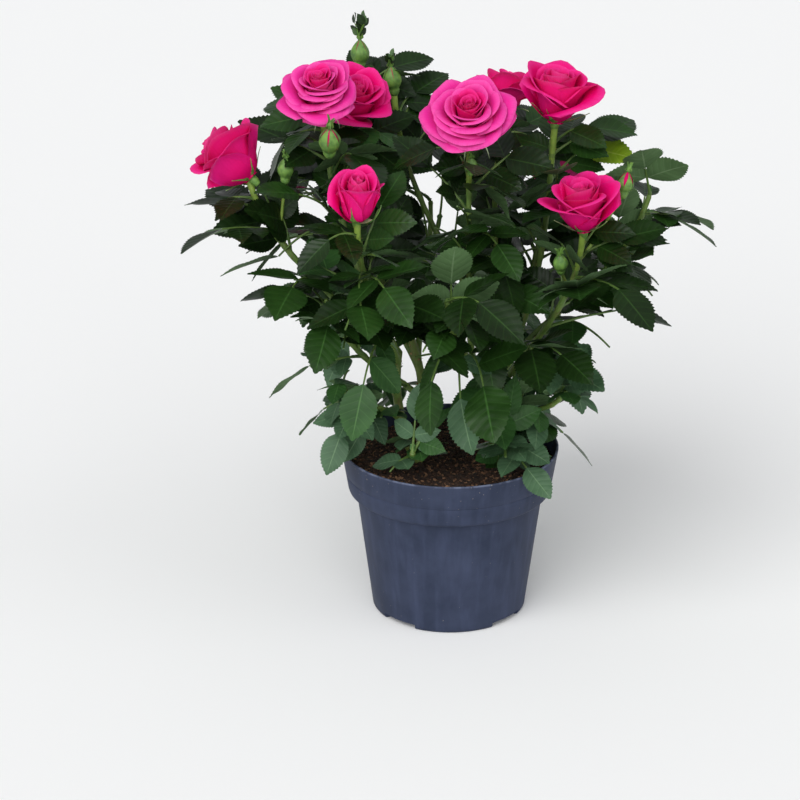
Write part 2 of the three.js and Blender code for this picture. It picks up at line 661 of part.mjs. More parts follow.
// A closed bud: a pointed egg over a round hip, with sepals that stand up past it
function budSolids(base, way, radius, leafTips) {
  const tall = radius * TALL.bud;
  const profile = BUD.map(([r, h]) => new THREE.Vector2(r * radius, h * tall));
  const egg = new THREE.LatheGeometry(profile, BUD_SIDES);
  const pieces = [stood(egg, base, way)];
  for (let k = 0; k < leafTips; k++) {
    const start = base.clone().addScaledVector(way, tall * BUD_SEPAL.start);
    const turn = k * 2 * Math.PI / leafTips;
    pieces.push(sepalSolid(start, way, turn, tall * BUD_SEPAL.share, BUD_SEPAL.lift));
  }
  return pieces;
}

// Assembly

const nodes = [];
const placedSolids = [];          // every piece so far, with its box, for the leaves' clearance

function keep(name, solid, material) {
  nodes.push(meshOf(name, solid, material));
  remember(solid);
}

function remember(solid) {
  const { min, max } = solid.boundingBox();
  placedSolids.push({ solid, min, max });
}

function clearOf(solid, others, gap) {
  const { min, max } = solid.boundingBox();
  return others.every((other) => {
    const apart = [0, 1, 2].some((k) => other.min[k] > max[k] + gap || other.max[k] < min[k] - gap);
    return apart || solid.minGap(other.solid, gap) >= gap;
  });
}

keep('pot', potSolid(), POT_PLASTIC);
keep('soil', soilSolid(), POTTING_SOIL);
for (const name of Object.keys(CANES)) keep(`cane_${name}`, caneSolid(name), GREEN_BARK);

// Limbs: boughs and stems, each cut clear of the limbs that it grows from or passes
const grownLimbs = Object.keys(CANES).map((name) => caneSolid(name, CUT));

function cutClear(solid) {
  return wholeOf(grownLimbs.reduce((rest, other) => rest.subtract(other), solid));
}

for (const shoot of SHOOTS.filter(({ low }) => !low)) {
  const path = stretch(shoot.path, 0, BOUGH_END, BOUGH_STEPS);
  keep(`bough_${shoot.name}`, cutClear(limb(path, taper(BOUGH_RADIUS), LIMB_SIDES)), GREEN_BARK);
  const grown = stretch(shoot.path, 0, BOUGH_END + GAP / shoot.length, BOUGH_STEPS);
  grownLimbs.push(limb(grown, taper(BOUGH_RADIUS, CUT), LIMB_SIDES));
}
for (const shoot of SHOOTS) {
  const path = stretch(shoot.path, shoot.stemFrom, shoot.stemTo, STEM_STEPS);
  shoot.stem = cutClear(limb(path, taper(STEM_RADIUS), STEM_SIDES));
  remember(shoot.stem);
}
for (const shoot of SHOOTS.filter(({ form }) => form !== 'leafy')) {
  const path = stretch(shoot.path, STEM_END + SEAM / shoot.length, 1, 2);
  const stalk = limb(path, taper(STALK_RADIUS), LIMB_SIDES);
  const closed = shoot.form === 'bud';
  const head = closed
    ? budSolids(shoot.path[PATH_STEPS], facing(shoot.face), shoot.radius, BUD_LEAF_TIPS)
    : bloomSolids(shoot);
  const name = `${closed ? 'bud' : 'bloom'}_${shoot.name}`;
  keep(name, wholeOf(Manifold.union([stalk, ...head])), PETAL_PINK);
}

// Side buds grow on their shoot's stem, so they belong to its mass
for (const { shoot: name, from, tip, radius } of SIDE_BUDS) {
  const shoot = SHOOTS.find((one) => one.name === name);
  const root = along(shoot.path, from);
  const end = point(tip).addScaledVector(UP, -radius * TALL.bud / 2);
  const bend = mix(root, end, 0.45).addScaledVector(UP, -4);    // the stalk curves up to the bud
  const path = new THREE.QuadraticBezierCurve3(root, bend, end).getPoints(4);
  const way = headingAt(path, 1);
  const stalk = limb(path, taper(BUD_STALK_RADIUS), 3);
  shoot.extras = [...(shoot.extras ?? []), stalk, ...budSolids(end, way, radius, 0)];
}

for (const { extras } of SHOOTS) extras?.forEach(remember);

// A leaf is tried as drawn, then turned a little round its stem and its leaflets tilted, and
// the best try is kept. A leaf with fewer than two clear leaflets is skipped.
function clearLeaf(shoot, plan) {
  const others = placedSolids.filter(({ solid }) => solid !== shoot.stem);
  let best = null;
  for (const turn of TURN_TRIES) {
    const leaf = leafOf({ ...plan, out: plan.out.clone().applyAxisAngle(plan.ahead, turn) });
    if (!clearOf(leafSolid(leaf, []), others, LEAF_GAP)) continue;
    const fits = (leaflet) => inSpace(shoot, leaflet)
      && clearOf(leafSolid(leaf, [leaflet]), others, LEAF_GAP);
    const leaflets = leaf.leaflets
      .map((leaflet) => DIP_TRIES.map((dip) => dipped(leaflet, dip)).find(fits))
      .filter((leaflet) => leaflet);
    if (leaflets.length > (best?.leaflets.length ?? 1)) best = { leaf, leaflets };
    if (best?.leaflets.length >= leaf.leaflets.length - 1) break;
  }
  return best && leafSolid(best.leaf, best.leaflets);
}

for (const shoot of SHOOTS) {
  const pieces = [shoot.stem, ...(shoot.extras ?? [])];
  for (const plan of leafPlans(shoot)) {
    const solid = clearLeaf(shoot, plan);
    if (!solid) continue;
    pieces.push(solid);
    remember(solid);
  }
  nodes.push(meshOf(`foliage_${shoot.name}`, wholeOf(Manifold.union(pieces)), LEAF_GREEN));
}

const bush = new THREE.Group();
bush.add(...nodes);

export default bush;
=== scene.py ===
"""A potted miniature rose in flower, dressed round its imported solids. Metres, +Z up, -Y in front."""
import json
import math
from functools import partial
import bpy
import numpy as np
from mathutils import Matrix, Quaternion, Vector
from mathutils.kdtree import KDTree
from mathutils.noise import noise

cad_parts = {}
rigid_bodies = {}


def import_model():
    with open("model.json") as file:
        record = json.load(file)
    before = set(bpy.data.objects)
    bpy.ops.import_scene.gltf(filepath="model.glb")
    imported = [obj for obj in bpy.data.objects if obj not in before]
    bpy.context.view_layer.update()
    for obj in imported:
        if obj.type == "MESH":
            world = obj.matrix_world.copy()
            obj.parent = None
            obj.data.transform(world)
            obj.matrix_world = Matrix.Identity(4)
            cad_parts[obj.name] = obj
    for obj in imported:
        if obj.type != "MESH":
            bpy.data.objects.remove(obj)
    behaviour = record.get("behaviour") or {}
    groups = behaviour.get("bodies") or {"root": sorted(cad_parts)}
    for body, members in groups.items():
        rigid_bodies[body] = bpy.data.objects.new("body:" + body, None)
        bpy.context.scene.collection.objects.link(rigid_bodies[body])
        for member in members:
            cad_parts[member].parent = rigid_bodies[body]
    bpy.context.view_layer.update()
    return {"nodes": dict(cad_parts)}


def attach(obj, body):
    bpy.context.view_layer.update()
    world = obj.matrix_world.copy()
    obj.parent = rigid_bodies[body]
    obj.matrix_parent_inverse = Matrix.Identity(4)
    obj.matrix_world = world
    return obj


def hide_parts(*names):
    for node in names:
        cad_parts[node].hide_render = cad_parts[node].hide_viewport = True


for starter in list(bpy.data.objects):
    bpy.data.objects.remove(starter)
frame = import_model()


# Camera
# It looks down on the plant by 22 degrees with a long lens, as a catalogue photographer stands.

EYE = Vector((0, -1.390, 0.680))
PITCH = math.radians(21.91)
YAW = math.atan(54 / 2737)


def new_object(name, data):
    """An object in the scene, at the origin."""
    made = bpy.data.objects.new(name, data)
    bpy.context.scene.collection.objects.link(made)
    return made


def aimed_object(name, data, place, way):
    """An object that stands at a place and looks along a way, as a camera or a lamp does."""
    made = new_object(name, data)
    made.location = place
    made.rotation_mode = "QUATERNION"
    made.rotation_quaternion = way.to_track_quat("-Z", "Y")
    return made


camera_data = bpy.data.cameras.new("camera")
camera_data.sensor_width = 36
camera_data.lens = 123.2
view = Vector((-math.sin(YAW) * math.cos(PITCH), math.cos(YAW) * math.cos(PITCH), -math.sin(PITCH)))
bpy.context.scene.camera = aimed_object("camera", camera_data, EYE, view)


# Floor and light
# A plain pale studio floor. A large soft light stands high at the front left and weaker ones at
# the right and in front, all far off, so that the floor is evenly bright. The room adds a little.

def linear(colour):
    """An sRGB hex colour as linear red, green, blue and alpha."""
    parts = [int(colour[i:i + 2], 16) / 255 for i in (0, 2, 4)]
    return tuple(c / 12.92 if c <= 0.04045 else ((c + 0.055) / 1.055) ** 2.4 for c in parts) + (1,)


def plug(node, links):
    """Sets a node's inputs, or links them to outputs: of a node, to the first that is in use."""
    for socket, value in links.items():
        if isinstance(value, bpy.types.Node):
            value = next(output for output in value.outputs if output.enabled)
        if isinstance(value, bpy.types.NodeSocket):
            node.id_data.links.new(value, node.inputs[socket])
        else:
            node.inputs[socket].default_value = value


def add_node(tree, kind, links=None, **settings):
    """Adds a node to a tree, with its settings and its inputs."""
    made = tree.nodes.new(kind if "Node" in kind else "ShaderNode" + kind)
    for name, value in settings.items():
        setattr(made, name, value)
    plug(made, links or {})
    return made


def new_material(name, **sockets):
    """A material, its shader with these sockets set, and what adds a node to its tree.

    Spaces in a socket's name are underscores."""
    made = bpy.data.materials.new(name)
    made.use_nodes = True
    shader = made.node_tree.nodes["Principled BSDF"]
    plug(shader, {socket.replace("_", " "): value for socket, value in sockets.items()})
    return made, shader, partial(add_node, made.node_tree)


FLOOR_HALF = 7
floor_mesh = bpy.data.meshes.new("floor")
floor_mesh.from_pydata(
    [(x * FLOOR_HALF, y * FLOOR_HALF, 0) for x, y in ((-1, -1), (1, -1), (1, 1), (-1, 1))],
    [], [(0, 1, 2, 3)])
floor = new_object("floor", floor_mesh)
floor_mesh.materials.append(new_material("studio_paper", Base_Color=linear("F7F7F6"), Roughness=0.9)[0])

world = bpy.data.worlds.new("studio")
world.use_nodes = True
plug(world.node_tree.nodes["Background"], {"Color": linear("F4F6FA"), "Strength": 0.44})
bpy.context.scene.world = world
bpy.context.scene.view_settings.view_transform = "Standard"

for name, place, softness, power in (
        ("key_light", (-0.9, -1.6, 1.6), 50, 2.0),
        ("fill_light", (1.5, -1.1, 1.0), 70, 0.7),
        ("front_light", (0.1, -1.8, 0.7), 60, 0.6)):
    lamp_data = bpy.data.lights.new(name, "SUN")
    lamp_data.angle = math.radians(softness)
    lamp_data.energy = power
    aimed_object(name, lamp_data, place, -Vector(place))


# Pot
# A nursery pot, thin polypropylene in a dark blue-grey, injection-moulded: a tapering wall, a
# wider collar with a stacking groove, a rounded lip, and four notches at the foot for water.

MM = 0.001


class Batch:
    """The corners, faces, finishes and pattern coordinates of one piece, in millimetres."""

    def __init__(self):
        self.spots = []
        self.faces = []
        self.finishes = []
        self.pattern = []
        self.count = 0

    def add(self, spots, faces, finish=0, pattern=None):
        spots = np.asarray(spots, float).reshape(-1, 3)
        self.spots.append(spots)
        self.faces.extend(tuple(self.count + i for i in face) for face in faces)
        self.count += len(spots)
        self.finishes.extend([finish] * len(faces) if isinstance(finish, int) else finish)
        self.pattern.append(np.zeros((len(spots), 2)) if pattern is None else pattern)


def make_piece(name, batch, materials, crease=50):
    """A smooth-shaded mesh object from a batch, in metres, with its pattern as a UV map."""
    mesh = bpy.data.meshes.new(name)
    mesh.from_pydata((np.concatenate(batch.spots) * MM).tolist(), [], batch.faces)
    for material in materials:
        mesh.materials.append(material)
    mesh.polygons.foreach_set("material_index", np.array(batch.finishes, np.int32))
    mesh.polygons.foreach_set("use_smooth", np.ones(len(batch.faces), bool))
    corners = np.zeros(len(mesh.loops), np.int32)
    mesh.loops.foreach_get("vertex_index", corners)
    layer = mesh.uv_layers.new(name="pattern")
    layer.uv.foreach_set("vector", np.concatenate(batch.pattern)[corners].astype(np.float32).ravel())
    mesh.set_sharp_from_angle(angle=math.radians(crease))
    mesh.update()
    return new_object(name, mesh)


def turn_profile(batch, profile, sides, shift=None, finish=0):
    """A closed solid turned round +Z from (radius, height) pairs that start and end on the axis."""
    around = np.arange(sides) * 2 * math.pi / sides
    spots = [(0, 0, profile[0][1])]
    for row, (radius, height) in enumerate(profile[1:-1]):
        for a in around:
            r, z = (radius, height) if shift is None else shift(row, radius, height, a)
            spots.append((r * math.sin(a), -r * math.cos(a), z))
    spots.append((0, 0, profile[-1][1]))
    rows = len(profile) - 2
    faces = []
    for k in range(sides):
        after = (k + 1) % sides
        faces.append((0, 1 + after, 1 + k))
        for row in range(rows - 1):
            low, high = 1 + row * sides, 1 + (row + 1) * sides
            faces.append((low + k, low + after, high + after, high + k))
        top = 1 + (rows - 1) * sides
        faces.append((top + k, top + after, len(spots) - 1))
    batch.add(spots, faces, finish)


RIM_RADIUS = 60
RIM_HEIGHT = 95
COLLAR_RADIUS = 56
COLLAR_HEIGHT = 71
WALL_TOP_RADIUS = 51
WALL_TOP_HEIGHT = 65
FOOT_RADIUS = 42.5
WALL = 1.4
FLOOR = 5
NOTCH_TURN = 49
NOTCH_WIDE = 21
NOTCH_DEEP = 6
NOTCH_HIGH = 3
POT_SIDES = 240
GROOVE_HEIGHT = 80.5
GROOVE_DEPTH = 0.35


def collar_radius(height):
    share = (height - COLLAR_HEIGHT) / (RIM_HEIGHT - COLLAR_HEIGHT)
    return COLLAR_RADIUS + (RIM_RADIUS - COLLAR_RADIUS) * share


def wall_radius(height):
    return FOOT_RADIUS + (WALL_TOP_RADIUS - FOOT_RADIUS) * height / WALL_TOP_HEIGHT


def outside_profile():
    """The pot from the middle of its underside up its outside to the top of the lip."""
    profile = [(0, 0), (FOOT_RADIUS - 8, 0), (FOOT_RADIUS - 1.4, 0), (FOOT_RADIUS - 0.5, 0.35)]
    profile += [(wall_radius(z), z) for z in (1.2, 2.9, 3.1, 10, 20, 30, 40, 50, 58, 62, 64, 66)]
    profile += [(WALL_TOP_RADIUS + 0.3, 67.6), (WALL_TOP_RADIUS + 0.8, 68.9),
                (COLLAR_RADIUS - 0.9, 70.0), (COLLAR_RADIUS - 0.25, 70.6)]
    profile += [(collar_radius(z), z) for z in (71.6, 74, 77, GROOVE_HEIGHT - 0.7)]
    profile += [(collar_radius(GROOVE_HEIGHT) - GROOVE_DEPTH, GROOVE_HEIGHT)]
    profile += [(collar_radius(z), z) for z in (GROOVE_HEIGHT + 0.6, 84, 88, 91, 93)]
    return profile + [(RIM_RADIUS - 0.2, 94.1), (RIM_RADIUS - 0.15, 94.6), (RIM_RADIUS - 0.5, RIM_HEIGHT)]


def inside_profile():
    """The pot from the inner edge of its lip down to the middle of its floor."""
    lip = collar_radius(RIM_HEIGHT) - WALL
    return [(lip + 0.3, RIM_HEIGHT), (lip, 94.6), (collar_radius(90) - WALL, 90),
            (collar_radius(72) - WALL, 72), (WALL_TOP_RADIUS - WALL + 0.6, 70.2),
            (wall_radius(62) - WALL, 62),
            (wall_radius(FLOOR) - WALL, FLOOR), (0, FLOOR)]


def cut_notches(row, radius, height, angle):
    """Draws the foot in to a notch, in the rows that stand below the notch's top."""
    off = (math.degrees(angle) - NOTCH_TURN + 45) % 90 - 45
    if not 1 <= row <= 4 or abs(math.radians(off)) * FOOT_RADIUS > NOTCH_WIDE / 2:
        return radius, height
    return radius - NOTCH_DEEP * (0.97 if row == 4 else 1), NOTCH_HIGH if row >= 3 else height


pot_batch = Batch()
turn_profile(pot_batch, outside_profile() + inside_profile(), POT_SIDES, cut_notches)


def patchy(name, colour, other, size_mm, noise_sockets=None, limits=(0.35, 0.65), **sockets):
    """Starts a material that wanders between two colours in patches of a real size.

    Returns it with its shader, what adds a node, the place, the patches and the mixed colour."""
    made, shader, add = new_material(name, **sockets)
    place = add("TexCoord").outputs["Object"]
    patches = add("TexNoise", {"Vector": place, "Scale": 1000 / size_mm, "Detail": 3,
                               **(noise_sockets or {})})
    share = add("MapRange", {0: patches, 1: limits[0], 2: limits[1]})
    mixed = add("Mix", {"Factor": share, 6: linear(colour), 7: linear(other)}, data_type="RGBA")
    plug(shader, {"Base Color": mixed})
    return made, shader, add, place, patches, mixed


# Satin polypropylene as it leaves the mould: a fine even grain, dull smudges from handling and
# watering a few centimetres wide, pale specks of dried soil near the lip, and a painted highlight in patches
# along the lip.
SMUDGE_MM = 28
STREAK_MM = 5
SPECK_MM = 1.1
GRAIN_MM = 0.7
polypropylene, shader, add, place, smudge, blue = patchy(
    "moulded_polypropylene", "2D3446", "394054", SMUDGE_MM, {"Detail": 4, "Roughness": 0.6},
    IOR=1.49, Specular_IOR_Level=0.08)
upright = add("Mapping", {"Vector": place, "Scale": (1, 1, 0.12)})
streak = add("TexNoise", {"Vector": upright, "Scale": 1000 / STREAK_MM, "Detail": 3})
faint = add("MapRange", {0: streak, 1: 0.45, 2: 0.75, 4: 0.35})
worn = add("Mix", {"Factor": faint, 6: blue, 7: linear("48506A")}, data_type="RGBA")
speck = add("TexNoise", {"Vector": place, "Scale": 1000 / SPECK_MM, "Detail": 1})
height = add("SeparateXYZ", {0: place}).outputs["Z"]
near_lip = add("MapRange", {0: height, 1: 0.070, 2: 0.096, 4: 0.075})
dotted = add("Math", {0: speck, 1: near_lip}, operation="ADD")
crumbs = add("MapRange", {0: dotted, 1: 0.806, 2: 0.83, 4: 0.6})
dirty = add("Mix", {"Factor": crumbs, 6: worn, 7: linear("A39A8C")}, data_type="RGBA")
# Painted highlight: the top edge of the lip is mixed towards a pale blue-grey, in patches.
edge = add("MapRange", {0: height, 1: 0.0940, 2: 0.0948})
lip_highlight_patches = add("MapRange", {0: streak, 1: 0.4, 2: 0.6, 3: 0.1, 4: 0.65})
lip_highlight_share = add("Math", {0: edge, 1: lip_highlight_patches}, operation="MULTIPLY")
lip_highlighted = add("Mix", {"Factor": lip_highlight_share, 6: dirty, 7: linear("7A829A")}, data_type="RGBA")
dull = add("MapRange", {0: smudge, 1: 0.3, 2: 0.7, 3: 0.42, 4: 0.62})
grain = add("TexNoise", {"Vector": place, "Scale": 1000 / GRAIN_MM, "Detail": 2})
relief = add("Bump", {"Strength": 0.12, "Distance": 0.0002, "Height": grain})
plug(shader, {"Base Color": lip_highlighted, "Roughness": dull, "Normal": relief})

pot = make_piece("nursery_pot", pot_batch, [polypropylene], crease=35)
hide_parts("pot")
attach(pot, "root")


# Potting soil
# Moist peat with bark crumbs and fibres, pressed in by hand a little below the lip. The crumbs
# and fibres lie loose on a lumpy surface.

SOIL_TOP = 86
SOIL_RADIUS = collar_radius(SOIL_TOP) - WALL - 0.4
SOIL_SIDES = 144
SOIL_RINGS = [54, 51, 47, 43, 39, 35, 31, 27, 23, 19, 15, 11, 7, 3.5]


def lumpy(row, radius, height, angle):
    """Lifts the soil's surface in lumps of about 14 mm and 5 mm, and less at its edge."""
    if height < SOIL_TOP - 0.1:
        return radius, height
    x, y = radius * math.sin(angle), -radius * math.cos(angle)
    lift = 1.3 * noise(Vector((x / 14, y / 14, 2))) + 0.6 * noise(Vector((x / 5, y / 5, 9)))
    return radius, height + lift - 0.5


soil_batch = Batch()
turn_profile(
    soil_batch,
    [(0, FLOOR + 0.3), (wall_radius(FLOOR) - WALL - 0.4, FLOOR + 0.3),
     (wall_radius(62) - WALL - 0.4, 62), (WALL_TOP_RADIUS - WALL + 0.1, 70.6),
     (collar_radius(72) - WALL - 0.5, 72.4),
     (SOIL_RADIUS, SOIL_TOP - 0.5)] + [(r, SOIL_TOP) for r in SOIL_RINGS] + [(0, SOIL_TOP)],
    SOIL_SIDES, lumpy)

# Damp peat: nearly black, with browner crumbs of 1 to 3 mm that catch no light.
peat, shader, add, _, lumps, _ = patchy(
    "damp_peat", "1C1511", "47301F", 2.2, {"Detail": 5, "Roughness": 0.7}, (0.4, 0.68),
    Roughness=0.95, Specular_IOR_Level=0.25)
plug(shader, {"Normal": add("Bump", {"Strength": 0.9, "Distance": 0.0012, "Height": lumps})})

soil = make_piece("potting_soil", soil_batch, [peat], crease=60)
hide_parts("soil")
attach(soil, "root")


def plain_material(name, colour, other, size_mm, roughness):
    """A matt finish that wanders between two colours in patches of a real size."""
    return patchy(name, colour, other, size_mm, Roughness=roughness)[0]


def scatter(name, host, material, profile, sides, stretched, density, seed, smallest, largest,
            least_rise=-1.2):
    """Strews grains, each turned from a profile and stretched, over a host's faces by a node tree.

    Density is in grains per square metre. A face whose normal rises less than least_rise has none."""
    grain_batch = Batch()
    turn_profile(grain_batch, profile, sides)
    grain_batch.spots = [spots * np.array(stretched) for spots in grain_batch.spots]
    grain = make_piece(name + "_grain", grain_batch, [], crease=30)
    tree = bpy.data.node_groups.new(name, "GeometryNodeTree")
    add = partial(add_node, tree)
    values = {"Density": density, "Seed": seed, "Smallest": smallest, "Largest": largest,
              "Least Rise": least_rise}
    tree.interface.new_socket("Geometry", in_out="INPUT", socket_type="NodeSocketGeometry")
    sockets = {}
    for label in values:
        kind = "NodeSocketInt" if label == "Seed" else "NodeSocketFloat"
        sockets[label] = tree.interface.new_socket(label, in_out="INPUT", socket_type=kind)
    tree.interface.new_socket("Geometry", in_out="OUTPUT", socket_type="NodeSocketGeometry")
    given = add("NodeGroupInput").outputs
    rise = add("SeparateXYZ", {0: add("GeometryNodeInputNormal")}).outputs["Z"]
    chosen = add("FunctionNodeCompare", {0: rise, 1: given["Least Rise"]}, operation="GREATER_THAN")
    points = add("GeometryNodeDistributePointsOnFaces", {
        "Mesh": given["Geometry"], "Density": given["Density"], "Seed": given["Seed"],
        "Selection": chosen})
    spin = add("FunctionNodeRandomValue", {
        "Seed": given["Seed"], 0: (-0.5, -0.5, 0), 1: (0.5, 0.5, 6.28)}, data_type="FLOAT_VECTOR")
    turned = add("FunctionNodeRotateRotation", {0: points.outputs["Rotation"], 1: spin},
                 rotation_space="LOCAL")
    size = add("FunctionNodeRandomValue", {
        "Seed": given["Seed"], 2: given["Smallest"], 3: given["Largest"]}, data_type="FLOAT")
    shape = add("GeometryNodeObjectInfo", {"Object": grain}).outputs["Geometry"]
    copies = add("GeometryNodeInstanceOnPoints", {
        "Points": points, "Instance": shape, "Rotation": turned, "Scale": size})
    real = add("GeometryNodeRealizeInstances", {0: copies})
    dressed = add("GeometryNodeSetMaterial", {"Geometry": real, "Material": material})
    smooth = add("GeometryNodeSetShadeSmooth", {"Geometry": dressed, "Shade Smooth": True})
    add("NodeGroupOutput", {0: smooth})
    carrier = new_object(name + "_carrier", host.data.copy())
    modifier = carrier.modifiers.new(name, "NODES")
    modifier.node_group = tree
    for label, value in values.items():
        modifier[sockets[label].identifier] = value
    bpy.context.view_layer.update()
    evaluated = carrier.evaluated_get(bpy.context.evaluated_depsgraph_get())
    mesh = bpy.data.meshes.new_from_object(evaluated)
    mesh.name = name
    carrier.modifiers.remove(modifier)
    bpy.data.objects.remove(carrier)
    bpy.data.objects.remove(grain)
    return new_object(name, mesh)


CRUMB_PROFILE = [(0, -0.45), (0.5, -0.2), (0.42, 0.3), (0, 0.55)]
FIBRE_PROFILE = [(0, -0.2), (0.2, -0.15), (0.16, 0.15), (0, 0.2)]
LEAST_SOIL_RISE = 0.7
# Bark is the palest of the grains and peat the darkest. The fibres shine like straw between them.
bark_crumb = plain_material("bark_crumb", "4C3122", "8E6A4E", 4, 0.9)
peat_crumb = plain_material("peat_crumb", "1A120E", "3E2A1E", 3, 0.95)
dry_fibre = plain_material("dry_fibre", "8A6F48", "B79B6C", 6, 0.85)
# For each: its finish, its profile with sides and stretch, its density and seed, and its sizes.
for name, finish, *grain in (
        ("peat_crumbs", peat_crumb, CRUMB_PROFILE, 6, (1, 1.3, 0.8), 340000, 3, 0.9, 3.2),
        ("bark_crumbs", bark_crumb, CRUMB_PROFILE, 5, (1, 1.7, 0.5), 240000, 8, 0.8, 2.6),
        ("soil_fibres", dry_fibre, FIBRE_PROFILE, 4, (0.7, 9, 0.7), 42000, 21, 0.25, 0.75)):
    strewn = scatter(name, soil, finish, *grain, LEAST_SOIL_RISE)
    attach(strewn, "root")


# Canes
# Four woody canes stand in the soil, green with brown streaks, as thick as a pencil at the foot
# and thinner above. Shoots of earlier cuts have left rings on them.

CANES = {
    "front_left": ((-18, -2), (-28, 0, 150), (-5, -2)),
    "front_right": ((23, 6), (12, 14, 136), (4, -2)),
    "back_left": ((-14, 32), (-24, 42, 146), (3, 4)),
    "back_right": ((24, 36), (36, 40, 140), (-4, 3)),
}
CANE_FOOT_RADIUS = 2.7
CANE_TOP_RADIUS = 2.2
FLARE = 1.1
FLARE_HEIGHT = 7
CANE_RINGS = 72
CANE_SIDES = 20
CANE_SUNK = 0.12
CANE_END_SHARE = 0.55
CANE_END_RISE = 0.4
SCAR_SWELL = 0.28
SCAR_SPACING = 9.5


def cane_point(name, t):
    """A cane's middle line: 0 is its foot on the soil and 1 its top."""
    foot, top, bow = CANES[name]
    sway = 4 * t * (1 - t)
    return Vector((foot[0] + (top[0] - foot[0]) * t + bow[0] * sway,
                   foot[1] + (top[1] - foot[1]) * t + bow[1] * sway,
                   SOIL_TOP + (top[2] - SOIL_TOP) * t))


def crosswise(way):
    return Vector((0, 1, 0)) if abs(way.y) < 0.9 else Vector((1, 0, 0))


def add_limb(batch, path, radii, sides, relief=0.0, finish=0):
    """A limb round a path, closed at both ends, with its bark ridged along its length."""
    steps = len(path) - 1
    spots, pattern = [], []
    across = crosswise((path[1] - path[0]).normalized())
    walked = 0
    for i, middle in enumerate(path):
        ahead = (path[min(i + 1, steps)] - path[max(i - 1, 0)]).normalized()
        across = (across - ahead * across.dot(ahead)).normalized()
        aside = across.cross(ahead)
        walked += (path[i] - path[i - 1]).length if i else 0
        for k in range(sides):
            a = k * 2 * math.pi / sides
            ridge = relief * noise(Vector((math.cos(a) * 2.3, math.sin(a) * 2.3, walked / 6 + path[0].x)))
            spots.append(middle + (across * math.cos(a) + aside * math.sin(a)) * (radii[i] + ridge))
            pattern.append((k / sides, walked))
    faces = []
    for i in range(steps):
        for k in range(sides):
            after = (k + 1) % sides
            low, high = i * sides, (i + 1) * sides
            faces.append((low + k, high + k, high + after, low + after))
    faces.append(tuple(range(sides)))
    faces.append(tuple(steps * sides + k for k in reversed(range(sides))))
    batch.add(spots, faces, finish, np.array(pattern))


def taper(start, end, steps, power=1):
    """Radii from the start of a limb to its end, changing evenly or, at a higher power, late."""
    return [start + (end - start) * (i / steps) ** power for i in range(steps + 1)]


def bark(name, colour, other, streak, streak_share, roughness):
    """Green rind: colour wanders along the limb, with thin lengthwise streaks of older bark."""
    made, shader, add, place, _, green = patchy(name, colour, other, 9, Roughness=roughness)
    upright = add("Mapping", {"Vector": place, "Scale": (1, 1, 0.14)})
    lines = add("TexNoise", {"Vector": upright, "Scale": 1000 / 1.6, "Detail": 3, "Roughness": 0.6})
    old = add("MapRange", {0: lines, 1: 0.52, 2: 0.66, 4: streak_share})
    rind = add("Mix", {"Factor": old, 6: green, 7: linear(streak)}, data_type="RGBA")
    relief = add("Bump", {"Strength": 0.5, "Distance": 0.0004, "Height": lines})
    plug(shader, {"Base Color": rind, "Normal": relief})
    return made


cane_bark = bark("cane_bark", "5A7430", "74883E", "6E5836", 0.6, 0.55)
cane_batch = Batch()
for name, (foot, _, _) in CANES.items():
    path = [cane_point(name, (1 + CANE_SUNK) * i / CANE_RINGS - CANE_SUNK) for i in range(CANE_RINGS + 1)]
    radii = taper(CANE_FOOT_RADIUS, CANE_TOP_RADIUS, CANE_RINGS)
    for i, spot in enumerate(path):
        up = max(0, spot.z - SOIL_TOP)
        ring = max(0, math.cos(up / SCAR_SPACING * 2 * math.pi + foot[0])) ** 12
        radii[i] += FLARE * math.exp(-up / FLARE_HEIGHT) + SCAR_SWELL * ring
    radii[-1] *= CANE_END_SHARE
    path[-1] = path[-1] + Vector((0, 0, CANE_END_RISE))
    add_limb(cane_batch, path, radii, CANE_SIDES, relief=0.3)
canes = make_piece("canes", cane_batch, [cane_bark], crease=70)
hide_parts(*(f"cane_{name}" for name in CANES))
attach(canes, "root")


# Boughs
# Each shoot leaves its cane low down and rises in a curve. Its lower part is bare: young green
# wood, joined to the cane by a swollen collar.

